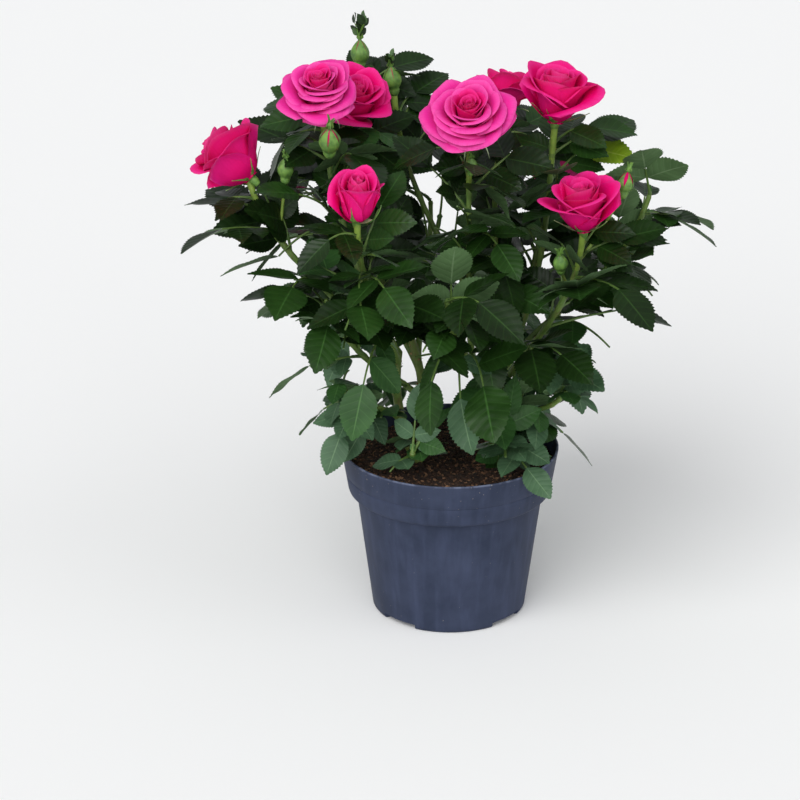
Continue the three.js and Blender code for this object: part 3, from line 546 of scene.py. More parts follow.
# For each shoot: its cane and how far up that it starts, its tip, its bloom's form, radius and
# facing (turn and tilt in degrees), and its leaves' count and seed.
SHOOTS = {
    "left": ("front_left", 0.80, (-117, 0, 260), "half", 18, (165, 42), 5, 153),
    "upper_left": ("front_left", 0.97, (-70, 0, 297), "open", 21, (-100, 33), 4, 162),
    "front": ("front_left", 0.90, (-48, -50, 255), "tight", 13.5, (-80, 16), 5, 89),
    "centre": ("front_right", 0.97, (8, -15, 286), "open", 24, (-95, 42), 5, 26),
    "right": ("front_right", 0.55, (67, -35, 247), "half", 19.5, (-110, 18), 5, 139),
    "far_right": ("back_right", 0.60, (106, 12, 236), "leafy", 0, (0, 40), 5, 130),
    "top_left": ("back_left", 0.97, (-48, 42, 281), "half", 17, (-30, 35), 4, 173),
    "top_bud": ("back_left", 0.85, (-51, 76, 296), "bud", 5, (90, 4), 4, 50),
    "top_centre": ("back_right", 0.80, (-33, 66, 284), "bud", 5, (200, 8), 5, 103),
    "upper_back": ("back_right", 0.97, (29, 55, 281), "half", 15, (60, 25), 5, 160),
    "upper_right": ("back_right", 0.90, (58, 15, 290), "half", 21, (-60, 22), 5, 14),
    "back_left": ("back_left", 0.60, (-72, 84, 233), "half", 18, (115, 40), 5, 145),
    "back_right": ("back_right", 0.45, (58, 80, 230), "half", 17, (60, 42), 5, 110),
    "low_left": ("front_left", 0.35, (-58, -18, 136), "leafy", 0, (190, 60), 3, 172),
    "low_front": ("front_left", 0.10, (-20, -38, 106), "leafy", 0, (260, 60), 3, 153),
    "low_right": ("front_right", 0.30, (62, -12, 132), "leafy", 0, (-20, 60), 4, 105),
    "low_middle": ("front_right", 0.12, (30, -34, 112), "leafy", 0, (280, 60), 4, 70),
    "low_back_left": ("back_left", 0.25, (-46, 60, 130), "leafy", 0, (130, 60), 3, 149),
    "low_back_right": ("back_right", 0.25, (56, 64, 126), "leafy", 0, (50, 60), 3, 175),
    "mid_left": ("front_left", 0.60, (-66, -30, 190), "leafy", 0, (200, 45), 5, 18),
    "mid_front": ("front_right", 0.75, (-2, -48, 196), "leafy", 0, (265, 40), 5, 66),
    "mid_back": ("back_left", 0.70, (-12, 98, 204), "leafy", 0, (100, 45), 5, 7),
}
TALL = {"open": 1.25, "half": 1.5, "tight": 2.1, "bud": 2.6, "leafy": 0}
PATH_STEPS = 24
SHOOT_BEND = 0.36
BOUGH_END = 0.30
STEM_END = 0.92
UP = Vector((0, 0, 1))


def facing(turn, tilt):
    a, t = math.radians(turn), math.radians(tilt)
    return Vector((math.cos(a) * math.sin(t), math.sin(a) * math.sin(t), math.cos(t)))


def shoot_path(cane, start, tip, form, radius, face):
    """A shoot's middle line, from inside its cane to its tip or the base of its bloom."""
    root = cane_point(cane, start)
    way = facing(*face)
    end = Vector(tip) - way * (radius * TALL[form] / 2)
    span = (end - root).length
    out = Vector((end.x - root.x + 1e-6, end.y - root.y, 0)).normalized()
    leave = (out * 0.55 + UP).normalized()
    arrive = (way * 0.5 + UP).normalized()
    corners = (root, root + leave * (span * SHOOT_BEND), end - arrive * (span * SHOOT_BEND), end)
    path = []
    for i in range(PATH_STEPS + 1):
        t = i / PATH_STEPS
        s = 1 - t
        weights = (s * s * s, 3 * s * s * t, 3 * s * t * t, t * t * t)
        path.append(sum((c * w for c, w in zip(corners, weights)), Vector((0, 0, 0))))
    return path


def along(path, t):
    x = t * (len(path) - 1)
    i = min(int(x), len(path) - 2)
    return path[i].lerp(path[i + 1], x - i)


def heading_at(path, t):
    i = min(int(t * (len(path) - 1)), len(path) - 2)
    return (path[i + 1] - path[i]).normalized()


def stretch(path, start, end, steps):
    """A part of a path at even steps, its corners rounded between the path's own points."""
    points = []
    for i in range(steps + 1):
        t = start + (end - start) * i / steps
        reach = 0.5 / (len(path) - 1)
        low, high = max(0, t - reach), min(1, t + reach)
        near = along(path, t)
        chord = along(path, low).lerp(along(path, high), 0.5)
        points.append(near.lerp(chord, 0.5) if 0 < i < steps else near)
    return points


paths = {name: shoot_path(*shoot[:6]) for name, shoot in SHOOTS.items()}


def is_low(name):
    return SHOOTS[name][1] < 0.4 and SHOOTS[name][3] == "leafy"


BOUGH_START_RADIUS = 2.0
BOUGH_TIP_RADIUS = 1.7
BOUGH_RINGS = 36
BOUGH_OVERLAP = 0.004
COLLAR_SWELL = 0.5
COLLAR_REACH = 3
shoot_bark = bark("shoot_bark", "587533", "6F8B40", "6E5A35", 0.4, 0.5)
bough_batch = Batch()
for name, path in paths.items():
    if is_low(name):
        continue
    bare_length = BOUGH_END * sum((b - a).length for a, b in zip(path, path[1:]))
    radii = [radius + COLLAR_SWELL * math.exp(-i / BOUGH_RINGS * bare_length / COLLAR_REACH)
             for i, radius in enumerate(taper(BOUGH_START_RADIUS, BOUGH_TIP_RADIUS, BOUGH_RINGS))]
    bare = stretch(path, 0, BOUGH_END + BOUGH_OVERLAP, BOUGH_RINGS)
    add_limb(bough_batch, bare, radii, 16, relief=0.22)
boughs = make_piece("boughs", bough_batch, [shoot_bark], crease=70)
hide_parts(*(f"bough_{name}" for name in paths if not is_low(name)))
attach(boughs, "root")

# Prickles: broad-based, bent down a little, one every centimetre or so of cane and bough.
prickle_horn = plain_material("prickle_horn", "7E4F38", "A98A52", 3, 0.45)
PRICKLE_PROFILE = [(0, -0.2), (0.75, 0), (0.42, 0.45), (0.16, 1.2), (0, 2.1)]
for name, host, *strewing in (
        ("cane_prickles", canes, 9000, 5, 0.7, 1.1),
        ("bough_prickles", boughs, 7000, 12, 0.45, 0.8)):
    prickles = scatter(name, host, prickle_horn, PRICKLE_PROFILE, 6, (0.7, 1.3, 1), *strewing)
    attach(prickles, "root")


# Leaves
# A rose leaf has five or three leaflets on a thin grooved stalk: toothed ovals, waxy dark green
# above and paler below, folded along the rib, their tips hanging. They stand in a spiral.

LEAF_SIZE = (29, 37)
LOW_LEAF_SHARE = 0.72
LEAF_TURN = math.radians(144)
FIRST_LEAF = 0.34
LOW_FIRST_LEAF = 0.30
LAST_LEAF = 0.90
WIDTH = 0.60
STALK_STEPS = 6
PAIR_STATIONS = {1: (3,), 2: (4, 2)}
STALK_REACH = {1: 0.78, 2: 1.14}
PAIR_SHARES = (0.86, 0.66)
TURN_TRIES = (0, 0.35, -0.35, 0.7, -0.7, 1.05)
DIP_TRIES = (0, -0.3, 0.3, -0.6, 0.6)
PACKED_FOLD = 0.16
PACKED_CURL = 0.07
PACKED_CORNERS = ((1, 0), (0.3, 0.5), (0.7, -0.38))
SAME_SPOT = 0.02


def seeded(seed):
    """A repeatable stream of draws between two numbers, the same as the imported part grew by."""
    state = (seed * 2654435761 + 12345) % 4294967296

    def draw(low, high):
        nonlocal state
        state = (state * 1664525 + 1013904223) % 4294967296
        return low + (high - low) * state / 4294967296

    for _ in range(3):
        draw(0, 1)
    return draw


def draw_leaf(draw, pairs):
    traits = {"rise": draw(0, 0.35), "drop": draw(0.12, 0.6), "sway": draw(-0.18, 0.18),
              "roll": draw(-0.55, 0.55), "end": (draw(0, 0.42), draw(0.92, 1.08)), "sides": []}
    for k in range(pairs):
        for side in (-1, 1):
            traits["sides"].append((k, side, draw(0.95, 1.3), draw(0, 0.3), draw(0.9, 1.08)))
    return traits


def turned_by(vector, axis, angle):
    made = vector.copy()
    made.rotate(Quaternion(axis, angle))
    return made


def stalk_frame(stalk, i, roll=0.0):
    ahead = (stalk[min(i + 1, STALK_STEPS)] - stalk[max(i - 1, 0)]).normalized()
    face = turned_by(ahead.cross(UP).normalized().cross(ahead), ahead, roll)
    return ahead, face, ahead.cross(face)


def leaf_of(plan, out):
    """A leaf's stalk, and its leaflets as base, heading, face, length and station."""
    at, ahead, _, size, pairs, traits = plan
    reach = size * STALK_REACH[pairs]
    aside = out.cross(UP).normalized()
    stalk = []
    for i in range(STALK_STEPS + 1):
        u = i / STALK_STEPS
        stalk.append(at + out * (u * reach) + aside * (traits["sway"] * u * u * reach)
                     + UP * ((traits["rise"] * u - traits["drop"] * u * u) * reach))
    ahead, face, _ = stalk_frame(stalk, STALK_STEPS, traits["roll"])
    sag, share = traits["end"]
    leaflets = [(stalk[-1], (ahead - face * sag).normalized(), (face + ahead * sag).normalized(),
                 size * share, STALK_STEPS)]
    for k, side, spread, sag, share in traits["sides"]:
        i = PAIR_STATIONS[pairs][k]
        ahead, face, across = stalk_frame(stalk, i, traits["roll"] * 0.7)
        heading = (ahead * math.cos(spread) + across * (side * math.sin(spread)) - face * sag)
        heading = heading.normalized()
        face = (face - heading * face.dot(heading)).normalized()
        leaflets.append((stalk[i], heading, face, size * PAIR_SHARES[k] * share, i))
    return stalk, leaflets


def leaf_plans(name, count, seed, first=None, last=None, size_share=1.0):
    """The leaves that a shoot may carry: place, stem's heading, way out, size, pairs and traits."""
    path, low = paths[name], is_low(name)
    draw = seeded(seed)
    first = first or (LOW_FIRST_LEAF if low else FIRST_LEAF)
    last = last or (1 if SHOOTS[name][3] == "leafy" else LAST_LEAF)
    turn = draw(0, 2 * math.pi)
    plans = []
    for i in range(count):
        share = i / (count - 1)
        t = first + (last - first) * share
        at, ahead = along(path, t), heading_at(path, min(t, 0.99))
        round_ = turned_by(ahead.cross(crosswise(ahead)).normalized(), ahead,
                           turn + i * LEAF_TURN + draw(-0.3, 0.3))
        lean = draw(0.45, 0.9)
        away = Vector((at.x, at.y - 20 - 1e-6, 0)).normalized()
        out = (round_ + ahead * lean + away * 0.45).normalized()
        vigour = math.sin(math.pi * min(1, 0.28 + 0.55 * share))
        size = draw(*LEAF_SIZE) * (0.72 + 0.28 * vigour) * (LOW_LEAF_SHARE if low else 1)
        pairs = 1 if i >= count - 1 or low else 2
        plans.append((at, ahead, out, size * size_share, pairs, draw_leaf(draw, pairs)))
    return plans


def dipped(leaflet, dip):
    base, heading, face, length, station = leaflet
    return (base, heading * math.cos(dip) - face * math.sin(dip),
            face * math.cos(dip) + heading * math.sin(dip), length, station)


def blade_spot(leaflet, u, w):
    """A point on a leaflet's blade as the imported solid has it: u along it, w across it."""
    base, heading, face, length, _ = leaflet
    aside = w * WIDTH * length
    lift = PACKED_FOLD * abs(aside) - PACKED_CURL * u * u * length
    return base + heading * (u * length) + heading.cross(face) * aside + face * lift


def packed_leaf(plan, corners):
    """The leaf as it was packed, with the leaflets that it kept, or None where it was skipped."""
    best = None
    for turn in TURN_TRIES:
        stalk, leaflets = leaf_of(plan, turned_by(plan[2], plan[1], turn))
        kept = []
        for leaflet in leaflets:
            for dip in DIP_TRIES:
                tilted = dipped(leaflet, dip)
                marks = [blade_spot(tilted, u, w) for u, w in PACKED_CORNERS]
                if all(corners.find(mark)[2] < SAME_SPOT for mark in marks):
                    kept.append(tilted)
                    break
        if len(kept) > (len(best[1]) if best else 1):
            best = (stalk, kept)
    return best


def search_tree(spots):
    tree = KDTree(len(spots))
    for i, spot in enumerate(spots):
        tree.insert(spot, i)
    tree.balance()
    return tree


leaves = {}
for name, shoot in SHOOTS.items():
    solid = frame["nodes"][f"foliage_{name}"].data.vertices
    corners = search_tree([vertex.co / MM for vertex in solid])
    grown = [packed_leaf(plan, corners) for plan in leaf_plans(name, shoot[6], shoot[7])]
    leaves[name] = [leaf for leaf in grown if leaf]


# The leaves that were too many to pack grow between the others by the same rule, four to a seed.
# The low shoots carry small ones as well.
# One that would leave its shoot's space, hide a bloom, close a place that stays open to the view,
# or touch a limb or a blade is skipped.
EXTRA_SEEDS = {
    "left": (22, 5, 27), "upper_left": (44, 29, 15), "front": (41, 2, 28), "centre": (4, 12, 30),
    "right": (44, 26, 26), "far_right": (16, 4, 12), "top_left": (45, 20, 33), "top_bud": (31, 11, 19),
    "top_centre": (26, 31, 43), "upper_back": (26, 30, 14), "upper_right": (26, 29, 31),
    "back_left": (36, 38, 28), "back_right": (41, 6, 6), "low_left": (23, 33, 6, 9),
    "low_front": (14, 1, 7, 19), "low_right": (15, 5, 8, 11), "low_middle": (32, 1, 10, 13),
    "low_back_left": (34, 1, 3, 21), "low_back_right": (4, 35, 2, 17), "mid_left": (12, 37),
    "mid_front": (4, 27, 6), "mid_back": (18, 16, 29),
}
ROUNDS = 4
EXTRA_LEAVES = 4
EXTRA_SHARE = 0.9
SMALL_SHARE = 0.68
OWN_SHARE = 0.34
RIM_REACH = 10
RIM_CLEARANCE = 4
SOIL_CLEARANCE = 3
LIMB_CLEARANCE = 2.6
LIMB_END = 0.97
LIMB_SPOTS = 160
CANE_SPOTS = 40
LOWEST_LEAF = 70
BLOOM_ROOM = 1.12
HIDDEN_SHARE = 0.95
# Where the camera looks between the leaves at the sky, the canes or the soil: the line of sight
# crosses the plane through the pot's middle so far across and up, in a circle so wide, in mm. At
# the widest of them a packed leaflet is left out too.
WIDE_PLACES = np.array([
    (-10, 232, 6), (-14, 241, 5), (-4, 222, 5), (0, 132, 5), (-52, 148, 4), (-73, 231, 4), (-48, 137, 5),
    (-19, 148, 5), (-83, 211, 4), (47, 204, 5), (94, 143, 6), (80, 165, 5),
])
OPEN_PLACES = np.array([
    *WIDE_PLACES,
    (94, 143, 9), (77, 166, 8), (110, 256, 8), (119, 255, 6), (-14, 233, 6), (-6, 228, 6), (-10, 222, 4),
    (61, 114, 6), (106, 167, 6), (95, 163, 6), (86, 163, 4), (-49, 137, 6), (-51, 148, 4), (102, 134, 6),
    (105, 262, 4), (45, 205, 5), (-85, 204, 5), (-82, 210, 4), (-92, 193, 5), (108, 194, 5), (106, 179, 5),
    (-103, 173, 5), (-96, 170, 5), (78, 156, 5), (-75, 233, 5), (-105, 166, 4), (70, 172, 4),
    (-19, 147, 4), (-74, 139, 4), (5, 135, 5), (-26, 150, 4), (-24, 136, 4), (-22, 121, 4), (-21, 107, 4),
    (-42, 82, 8), (-26, 79, 9), (-6, 77, 9), (14, 75, 8), (31, 77, 6),
])
BACK = 60
NEIGHBOUR = 40
ROWS_TESTED = (0.06, 0.25, 0.45, 0.65, 0.85, 1.0)
HALF_TESTED = (0.12, 0.46, 0.51, 0.43, 0.22, 0.0)

names = list(paths)
path_spots = np.array([[tuple(spot) for spot in path[2:]] for path in paths.values()])
limb_spots = [spot for path in paths.values() for spot in stretch(path, 0, LIMB_END, LIMB_SPOTS)]
limb_spots += [cane_point(cane, i / CANE_SPOTS) for cane in CANES for i in range(CANE_SPOTS + 1)]
limbs = search_tree(limb_spots)
bloom_places = [(Vector(shoot[2]), shoot[4]) for shoot in SHOOTS.values()
                if shoot[3] not in ("bud", "leafy")]
blade_frames, blade_edges = [], []


def hides_bloom(spot):
    """Whether a spot lies in a bloom, or in front of one that the camera sees."""
    for tip, radius in bloom_places:
        off = spot - tip
        ahead = off.dot((EYE / MM - tip).normalized())
        beside = math.sqrt(max(0, off.length_squared - ahead * ahead))
        if off.length < radius * BLOOM_ROOM:
            return True
        if tip.y <= BACK and ahead > 0 and beside < radius * HIDDEN_SHARE:
            return True
    return False


def in_space(name, leaflet):
    """Whether a leaflet keeps to its shoot's own space, clear of the soil, the rim and the blooms."""
    base, heading, _, length, _ = leaflet
    for u in (0.55, 1):
        spot = base + heading * (length * u)
        gaps = np.linalg.norm(path_spots - np.array(spot), axis=2).min(axis=1)
        r = math.hypot(spot.x, spot.y)
        over_pot = r < RIM_RADIUS + RIM_CLEARANCE
        over_rim = over_pot and r > RIM_RADIUS - RIM_REACH
        if ((gaps < gaps[names.index(name)] * OWN_SHARE).any()
                or over_pot and spot.z < SOIL_TOP + SOIL_CLEARANCE
                or over_rim and spot.z < RIM_HEIGHT + RIM_CLEARANCE
                or spot.z < LOWEST_LEAF or hides_bloom(spot)):
            return False
    return True


def blade_rows(leaflet, across=(-1, 0, 1)):
    """Rows of points on a leaflet: its left edge, its rib and its right edge, or more."""
    return np.array([tuple(blade_spot(leaflet, u, w * half))
                     for u, half in zip(ROWS_TESTED, HALF_TESTED) for w in across])


def axes_and_length(leaflet):
    base, heading, face, length, _ = leaflet
    return np.array([base, heading, heading.cross(face), face]), length


def remember_blade(leaflet):
    blade_frames.append(axes_and_length(leaflet))
    blade_edges.append(blade_rows(leaflet))


def closes_view(leaflet, places):
    """Whether a leaflet covers one of the places that the camera looks through."""
    rows = blade_rows(leaflet, (-1, -0.5, 0, 0.5, 1))
    eye = np.array(EYE / MM)
    seen = eye + (rows - eye) * (eye[1] / (eye[1] - rows[:, 1]))[:, None]
    off = seen[:, None, (0, 2)] - places[None, :, :2]
    return (np.linalg.norm(off, axis=2) < places[:, 2]).any()


def passes_through(spots, axes, length):
    """Whether an edge between a blade's tested points goes through another blade's plane inside it."""
    grid = ((spots - axes[0]) @ axes[1:].T / length).reshape(len(ROWS_TESTED), 3, 3)
    for a, b in ((grid[1:], grid[:-1]), (grid[:, 1:], grid[:, :-1])):
        through = a[..., 2] * b[..., 2] < 0
        share = a[..., 2] / np.where(through, a[..., 2] - b[..., 2], 1)
        spot = a + (b - a) * share[..., None]
        u, w = spot[..., 0], spot[..., 1]
        half = np.interp(u, (0, *ROWS_TESTED), (0, *HALF_TESTED), left=0, right=0) * WIDTH
        if (through & (np.abs(w) < half) & (u > 0.02) & (u < 1)).any():
            return True
    return False


def has_room(name, leaflet):
    """Whether a leaflet keeps to its space, and touches no limb and no other blade."""
    if not in_space(name, leaflet):
        return False
    rows = blade_rows(leaflet)
    if closes_view(leaflet, OPEN_PLACES) or any(limbs.find(spot)[2] < LIMB_CLEARANCE for spot in rows[3:]):
        return False
    gaps = np.linalg.norm(np.array(blade_edges).mean(axis=1) - rows.mean(axis=0), axis=1)
    return not any(passes_through(rows, *blade_frames[i])
                   or passes_through(blade_edges[i], *axes_and_length(leaflet))
                   for i in np.nonzero(gaps < NEIGHBOUR)[0])


def extra_leaf(name, plan):
    """A further leaf with those of its leaflets that have room, or None where too few have."""
    stalk, leaflets = leaf_of(plan, plan[2])
    kept = []
    for leaflet in leaflets:
        tries = (dipped(leaflet, dip) for dip in DIP_TRIES)
        fitted = next((tilted for tilted in tries if has_room(name, tilted)), None)
        if fitted:
            kept.append(fitted)
    return (stalk, kept) if len(kept) > len(leaflets) / 2 else None


for name, grown in leaves.items():
    leaves[name] = [(stalk, [leaflet for leaflet in leaflets if not closes_view(leaflet, WIDE_PLACES)])
                    for stalk, leaflets in grown]
    for _, leaflets in leaves[name]:
        for leaflet in leaflets:
            remember_blade(leaflet)
for turn in range(ROUNDS):
    for name in (names if turn % 2 == 0 else names[::-1]):
        if turn >= len(EXTRA_SEEDS[name]):
            continue
        seed = EXTRA_SEEDS[name][turn]
        size_share = SMALL_SHARE if turn > 1 and is_low(name) else EXTRA_SHARE
        early = 0.22 + 0.05 * (seed % 4)
        late = 0.88 + 0.04 * (seed % 3) if SHOOTS[name][3] == "leafy" else 0.78 + 0.04 * (seed % 4)
        for plan in leaf_plans(name, EXTRA_LEAVES, seed, early, late, size_share):
            leaf = extra_leaf(name, plan)
            if leaf:
                leaves[name].append(leaf)
                for leaflet in leaf[1]:
                    remember_blade(leaflet)


# A leaflet's outline: half its width at stations along it, as a share of its full width. Those of
# the crown run out in a point, and those low down are rounder.
OUTLINE_AT = (0, 0.03, 0.08, 0.16, 0.26, 0.38, 0.5, 0.62, 0.74, 0.84, 0.92, 0.97, 1)
POINTED_HALF = (0, 0.11, 0.25, 0.39, 0.48, 0.52, 0.50, 0.43, 0.32, 0.20, 0.09, 0.035, 0)
ROUND_HALF = (0, 0.11, 0.25, 0.40, 0.49, 0.53, 0.52, 0.47, 0.38, 0.27, 0.15, 0.065, 0)
LEAFLET_ROWS = 30
TEETH = 0.028
SIDE_VEINS = 7
LEAFLET_KINDS = 12
KIND_RANGES = {"high": (0, 8), "low": (5, 12)}
SHADES = 5


def leaflet_kind(draw, roundness):
    """One way for a leaflet to grow: its corners as shares along it, across it and above it."""
    outline = np.array(POINTED_HALF) * (1 - roundness) + np.array(ROUND_HALF) * roundness
    fold, curl, droop = draw(0.10, 0.30), draw(0.02, 0.13), draw(0.1, 0.9)
    twist, bow, wave, phase = draw(-0.2, 0.2), draw(-0.05, 0.05), draw(0.0, 0.02), draw(0, 6.28)
    full, arch = draw(0.94, 1.13), draw(0.15, 0.55)
    corners = [(0, 0, 0)]
    for row in range(1, LEAFLET_ROWS):
        u = row / LEAFLET_ROWS
        half = np.interp(u, OUTLINE_AT, outline) * full
        tooth = TEETH * (1 if row % 2 else -0.6) * min(1, 4 * u, 5 * (1 - u))
        for w in (-1, -0.5, 0, 0.5, 1):
            rim = abs(w) == 1
            across = w * (half + (tooth if rim else 0))
            along_ = u + (0.010 * (1 if row % 2 else -0.5) if rim else 0) + 0.05 * abs(w) * half
            swell = 0.0015 * math.cos(2 * math.pi * (SIDE_VEINS * u - 1.1 * abs(w))) * (abs(w) == 0.5)
            side = abs(across) * WIDTH
            lift = (fold * side * (1 - arch * abs(w)) - curl * u * u - droop * max(0, u - 0.8) ** 2
                    + twist * u * across * WIDTH + swell * 1.6
                    + wave * abs(w) * math.sin(phase + 11 * u + (2 if w > 0 else 0)))
            corners.append((min(along_, 0.995), across + bow * u * u, lift))
        corners.append((u, bow * u * u, -curl * u * u - droop * max(0, u - 0.8) ** 2 - 0.012))
    corners.append((1, bow, -curl - droop * 0.04))
    return np.array(corners)


def leaflet_faces():
    """The faces of every leaflet: the upper side in four strips and the lower side in two."""
    upper, lower = [], []
    end = 1 + (LEAFLET_ROWS - 1) * 6
    for c in range(4):
        upper.append((0, 1 + c + 1, 1 + c))
        upper.append((end - 6 + c, end - 6 + c + 1, end))
    for row in range(LEAFLET_ROWS - 2):
        a, b = 1 + row * 6, 7 + row * 6
        upper += [(a + c, a + c + 1, b + c + 1, b + c) for c in range(4)]
        lower += [(a, b, b + 5, a + 5), (a + 5, b + 5, b + 4, a + 4)]
    lower += [(0, 1, 6), (0, 6, 5), (end - 6, end, end - 1), (end - 1, end, end - 2)]
    return upper, lower


draw = seeded(2026)
leaflet_kinds = [leaflet_kind(draw, number / (LEAFLET_KINDS - 1)) for number in range(LEAFLET_KINDS)]
upper_faces, lower_faces = leaflet_faces()
rows = np.repeat(np.arange(1, LEAFLET_ROWS) / LEAFLET_ROWS, 6)
columns = np.tile((1, 0.5, 0, 0.5, 1, 0), LEAFLET_ROWS - 1)
leaflet_pattern = np.column_stack([np.concatenate([[0], rows, [1]]),
                                   np.concatenate([[0], columns, [0]])])


def add_leaflet(batch, leaflet, kind, shade):
    axes, length = axes_and_length(leaflet)
    spots = axes[0] + (leaflet_kinds[kind] * (length, WIDTH * length, length)) @ axes[1:]
    finish = [shade] * len(upper_faces) + [SHADES] * len(lower_faces)
    batch.add(spots, upper_faces + lower_faces, finish, leaflet_pattern)


def leaf_green(name, colour, other, vein, roughness):
    """Waxy leaf: two greens in patches, a paler rib and side veins, and a blade quilted between."""
    made, shader, add, place, _, blade = patchy(
        name, colour, other, 16, Roughness=roughness, IOR=1.45, Specular_IOR_Level=0.3)
    part = add("SeparateXYZ", {0: add("UVMap", uv_map="pattern")}).outputs
    rib = add("MapRange", {0: part["Y"], 1: 0.015, 2: 0.06, 3: 1, 4: 0})
    slant = add("Math", {0: part["Y"], 1: -0.16, 2: part["X"]}, operation="MULTIPLY_ADD")
    comb = add("Math", {0: slant, 1: 0.5 / SIDE_VEINS}, operation="PINGPONG")
    lines = add("MapRange", {0: comb, 2: 0.010, 3: 0.4, 4: 0})
    veins = add("Math", {0: rib, 1: lines}, operation="MAXIMUM")
    shown = add("Math", {0: veins, 1: 0.42}, operation="MULTIPLY")
    green = add("Mix", {"Factor": shown, 6: blade, 7: linear(vein)}, data_type="RGBA")
    quilt = add("MapRange", {0: comb, 2: 0.5 / SIDE_VEINS}, interpolation_type="SMOOTHSTEP")
    fine = add("TexNoise", {"Vector": place, "Scale": 1000 / 1.3, "Detail": 2})
    grained = add("Math", {0: fine, 1: 0.3, 2: quilt}, operation="MULTIPLY_ADD")
    lowered = add("Math", {0: rib, 1: -0.8, 2: grained}, operation="MULTIPLY_ADD")
    relief = add("Bump", {"Strength": 0.17, "Distance": 0.0006, "Height": lowered})
    plug(shader, {"Base Color": green, "Normal": relief})
    return made


# From a nearly black green to a fuller one, a dull grey-green with a grey-blue sheen painted in, a
# yellow-green for one young leaflet, and the pale matt underside.
leaf_materials = [
    leaf_green("waxy_dark_leaf", "0E2006", "162D0B", "3A5E28", 0.36),
    leaf_green("waxy_leaf", "18320D", "224014", "487436", 0.40),
    leaf_green("full_green_leaf", "284822", "345A2A", "5E8A4C", 0.44),
    # Painted sheen: this grey-green stands for the grey-blue gloss on the low leaves.
    leaf_green("grey_green_painted_sheen_leaf", "38543A", "4B6A4C", "7E9C74", 0.5),
    leaf_green("young_leaf", "6C8A12", "87A31C", "B4C45C", 0.5),
    leaf_green("leaf_underside", "46613A", "567449", "86A078", 0.65),
]

# The greens are dealt out by leaf. Most are dark, a few are fuller, and those low down are duller, many of
# them in the grey-green with its painted sheen.
SHADE_LIMITS = {"high": (0.54, 0.97, 1.0), "low": (0.0, 0.24, 0.56)}
LOW_LEAF = 160
YOUNG = 4
YOUNG_LEAFLETS = {("upper_right", 3, 2)}
TRIANGLES_A_LEAFLET = 2 * len(upper_faces) + 2 * len(lower_faces)
PIECE_LIMIT = 185000
batches = [(Batch(), [])]
for number, (name, grown) in enumerate(leaves.items()):
    draw = seeded(500 + number)
    count = sum(len(leaflets) for _, leaflets in grown)
    if (len(batches[-1][0].spots) + count) * TRIANGLES_A_LEAFLET > PIECE_LIMIT:
        batches.append((Batch(), []))
    batch, nodes = batches[-1]
    nodes.append(f"foliage_{name}")
    for i, (stalk, leaflets) in enumerate(grown):
        heights = [leaflet[0].z + leaflet[1].z * leaflet[3] / 2 for leaflet in leaflets]
        place = "low" if leaflets and np.mean(heights) < LOW_LEAF else "high"
        chance = draw(0, 1)
        shade = sum(chance > limit for limit in SHADE_LIMITS[place])
        for j, leaflet in enumerate(leaflets):
            kind = int(draw(*KIND_RANGES[place]))
            add_leaflet(batch, leaflet, kind, YOUNG if (name, i, j) in YOUNG_LEAFLETS else shade)
for number, (batch, nodes) in enumerate(batches, 1):
    blades = make_piece(f"leaves_{number}", batch, leaf_materials, crease=50)
    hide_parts(*nodes)
    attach(blades, "root")


# Twigs
# Each mass of leaves hangs on one green stem that goes on from its bough. The leaves' own stalks
# are thin, flat above, and clasp the stem with a pair of narrow wings.

STEM_START_RADIUS = 1.6
STEM_TIP_RADIUS = 1.3
LEAF_STALK_RADII = (0.85, 0.5)
LEAF_FOOT_SWELL = 0.5
STEM_RINGS = 64
STEM_END_SHARE = 0.6
JOINT_SWELL = 0.35
JOINT_REACH = 2.2
WING_LENGTH = 9
WING_HALF = (0.3, 1.5, 1.8, 1.7, 1.4, 0.9, 0.1)
STALK_RINGS = 14


def add_strip(batch, rows, finishes):
    """A thin closed strip from rows of corners, with a finish for each of its long sides."""
    wide = len(rows[0])
    end = (len(rows) - 1) * wide
    faces = []
    for low in range(0, end, wide):
        for k in range(wide):
            after = (k + 1) % wide
            faces.append((low + k, low + after, low + wide + after, low + wide + k))
    faces += [(0, *range(wide - 1, 0, -1)), tuple(range(end, end + wide))]
    batch.add([corner for row in rows for corner in row], faces,
              list(finishes) * (len(rows) - 1) + [finishes[-1]] * 2)


twig_batch = Batch()
for name, path in paths.items():
    leafy = SHOOTS[name][3] == "leafy"
    end = 1 if leafy else STEM_END + BOUGH_OVERLAP
    stem = stretch(path, 0 if is_low(name) else BOUGH_END, end, STEM_RINGS)
    radii = taper(STEM_START_RADIUS, STEM_TIP_RADIUS, STEM_RINGS)
    for i, spot in enumerate(stem):
        near = min(((spot - stalk[0]).length for stalk, _ in leaves[name]), default=99)
        radii[i] += JOINT_SWELL * math.exp(-(near / JOINT_REACH) ** 2)
    if leafy:
        radii[-1] *= STEM_END_SHARE
    add_limb(twig_batch, stem, radii, 10, relief=0.12)
    for stalk, _ in leaves[name]:
        radii = taper(*LEAF_STALK_RADII, STALK_RINGS)
        radii[0] += LEAF_FOOT_SWELL
        radii[1] += LEAF_FOOT_SWELL / 4
        add_limb(twig_batch, stretch(stalk, 0, 1, STALK_RINGS), radii, 6, finish=1)
        _, face, across = stalk_frame(stalk, 1)
        for side in (-1, 1):
            wing = []
            for i, wide in enumerate(WING_HALF):
                drift = 0.5 if i < 5 else 1.4
                at = along(stalk, 0.03 + i / 6 * min(0.3, WING_LENGTH / 40)) + face * 0.2
                row = (at + across * (side * 0.3),
                       at + across * (side * (0.5 + wide * drift)) + face * (0.25 * wide),
                       at + across * (side * 0.4) - face * 0.28)
                wing.append(row if side > 0 else row[::-1])
            add_strip(twig_batch, wing, (2, 2, 2))

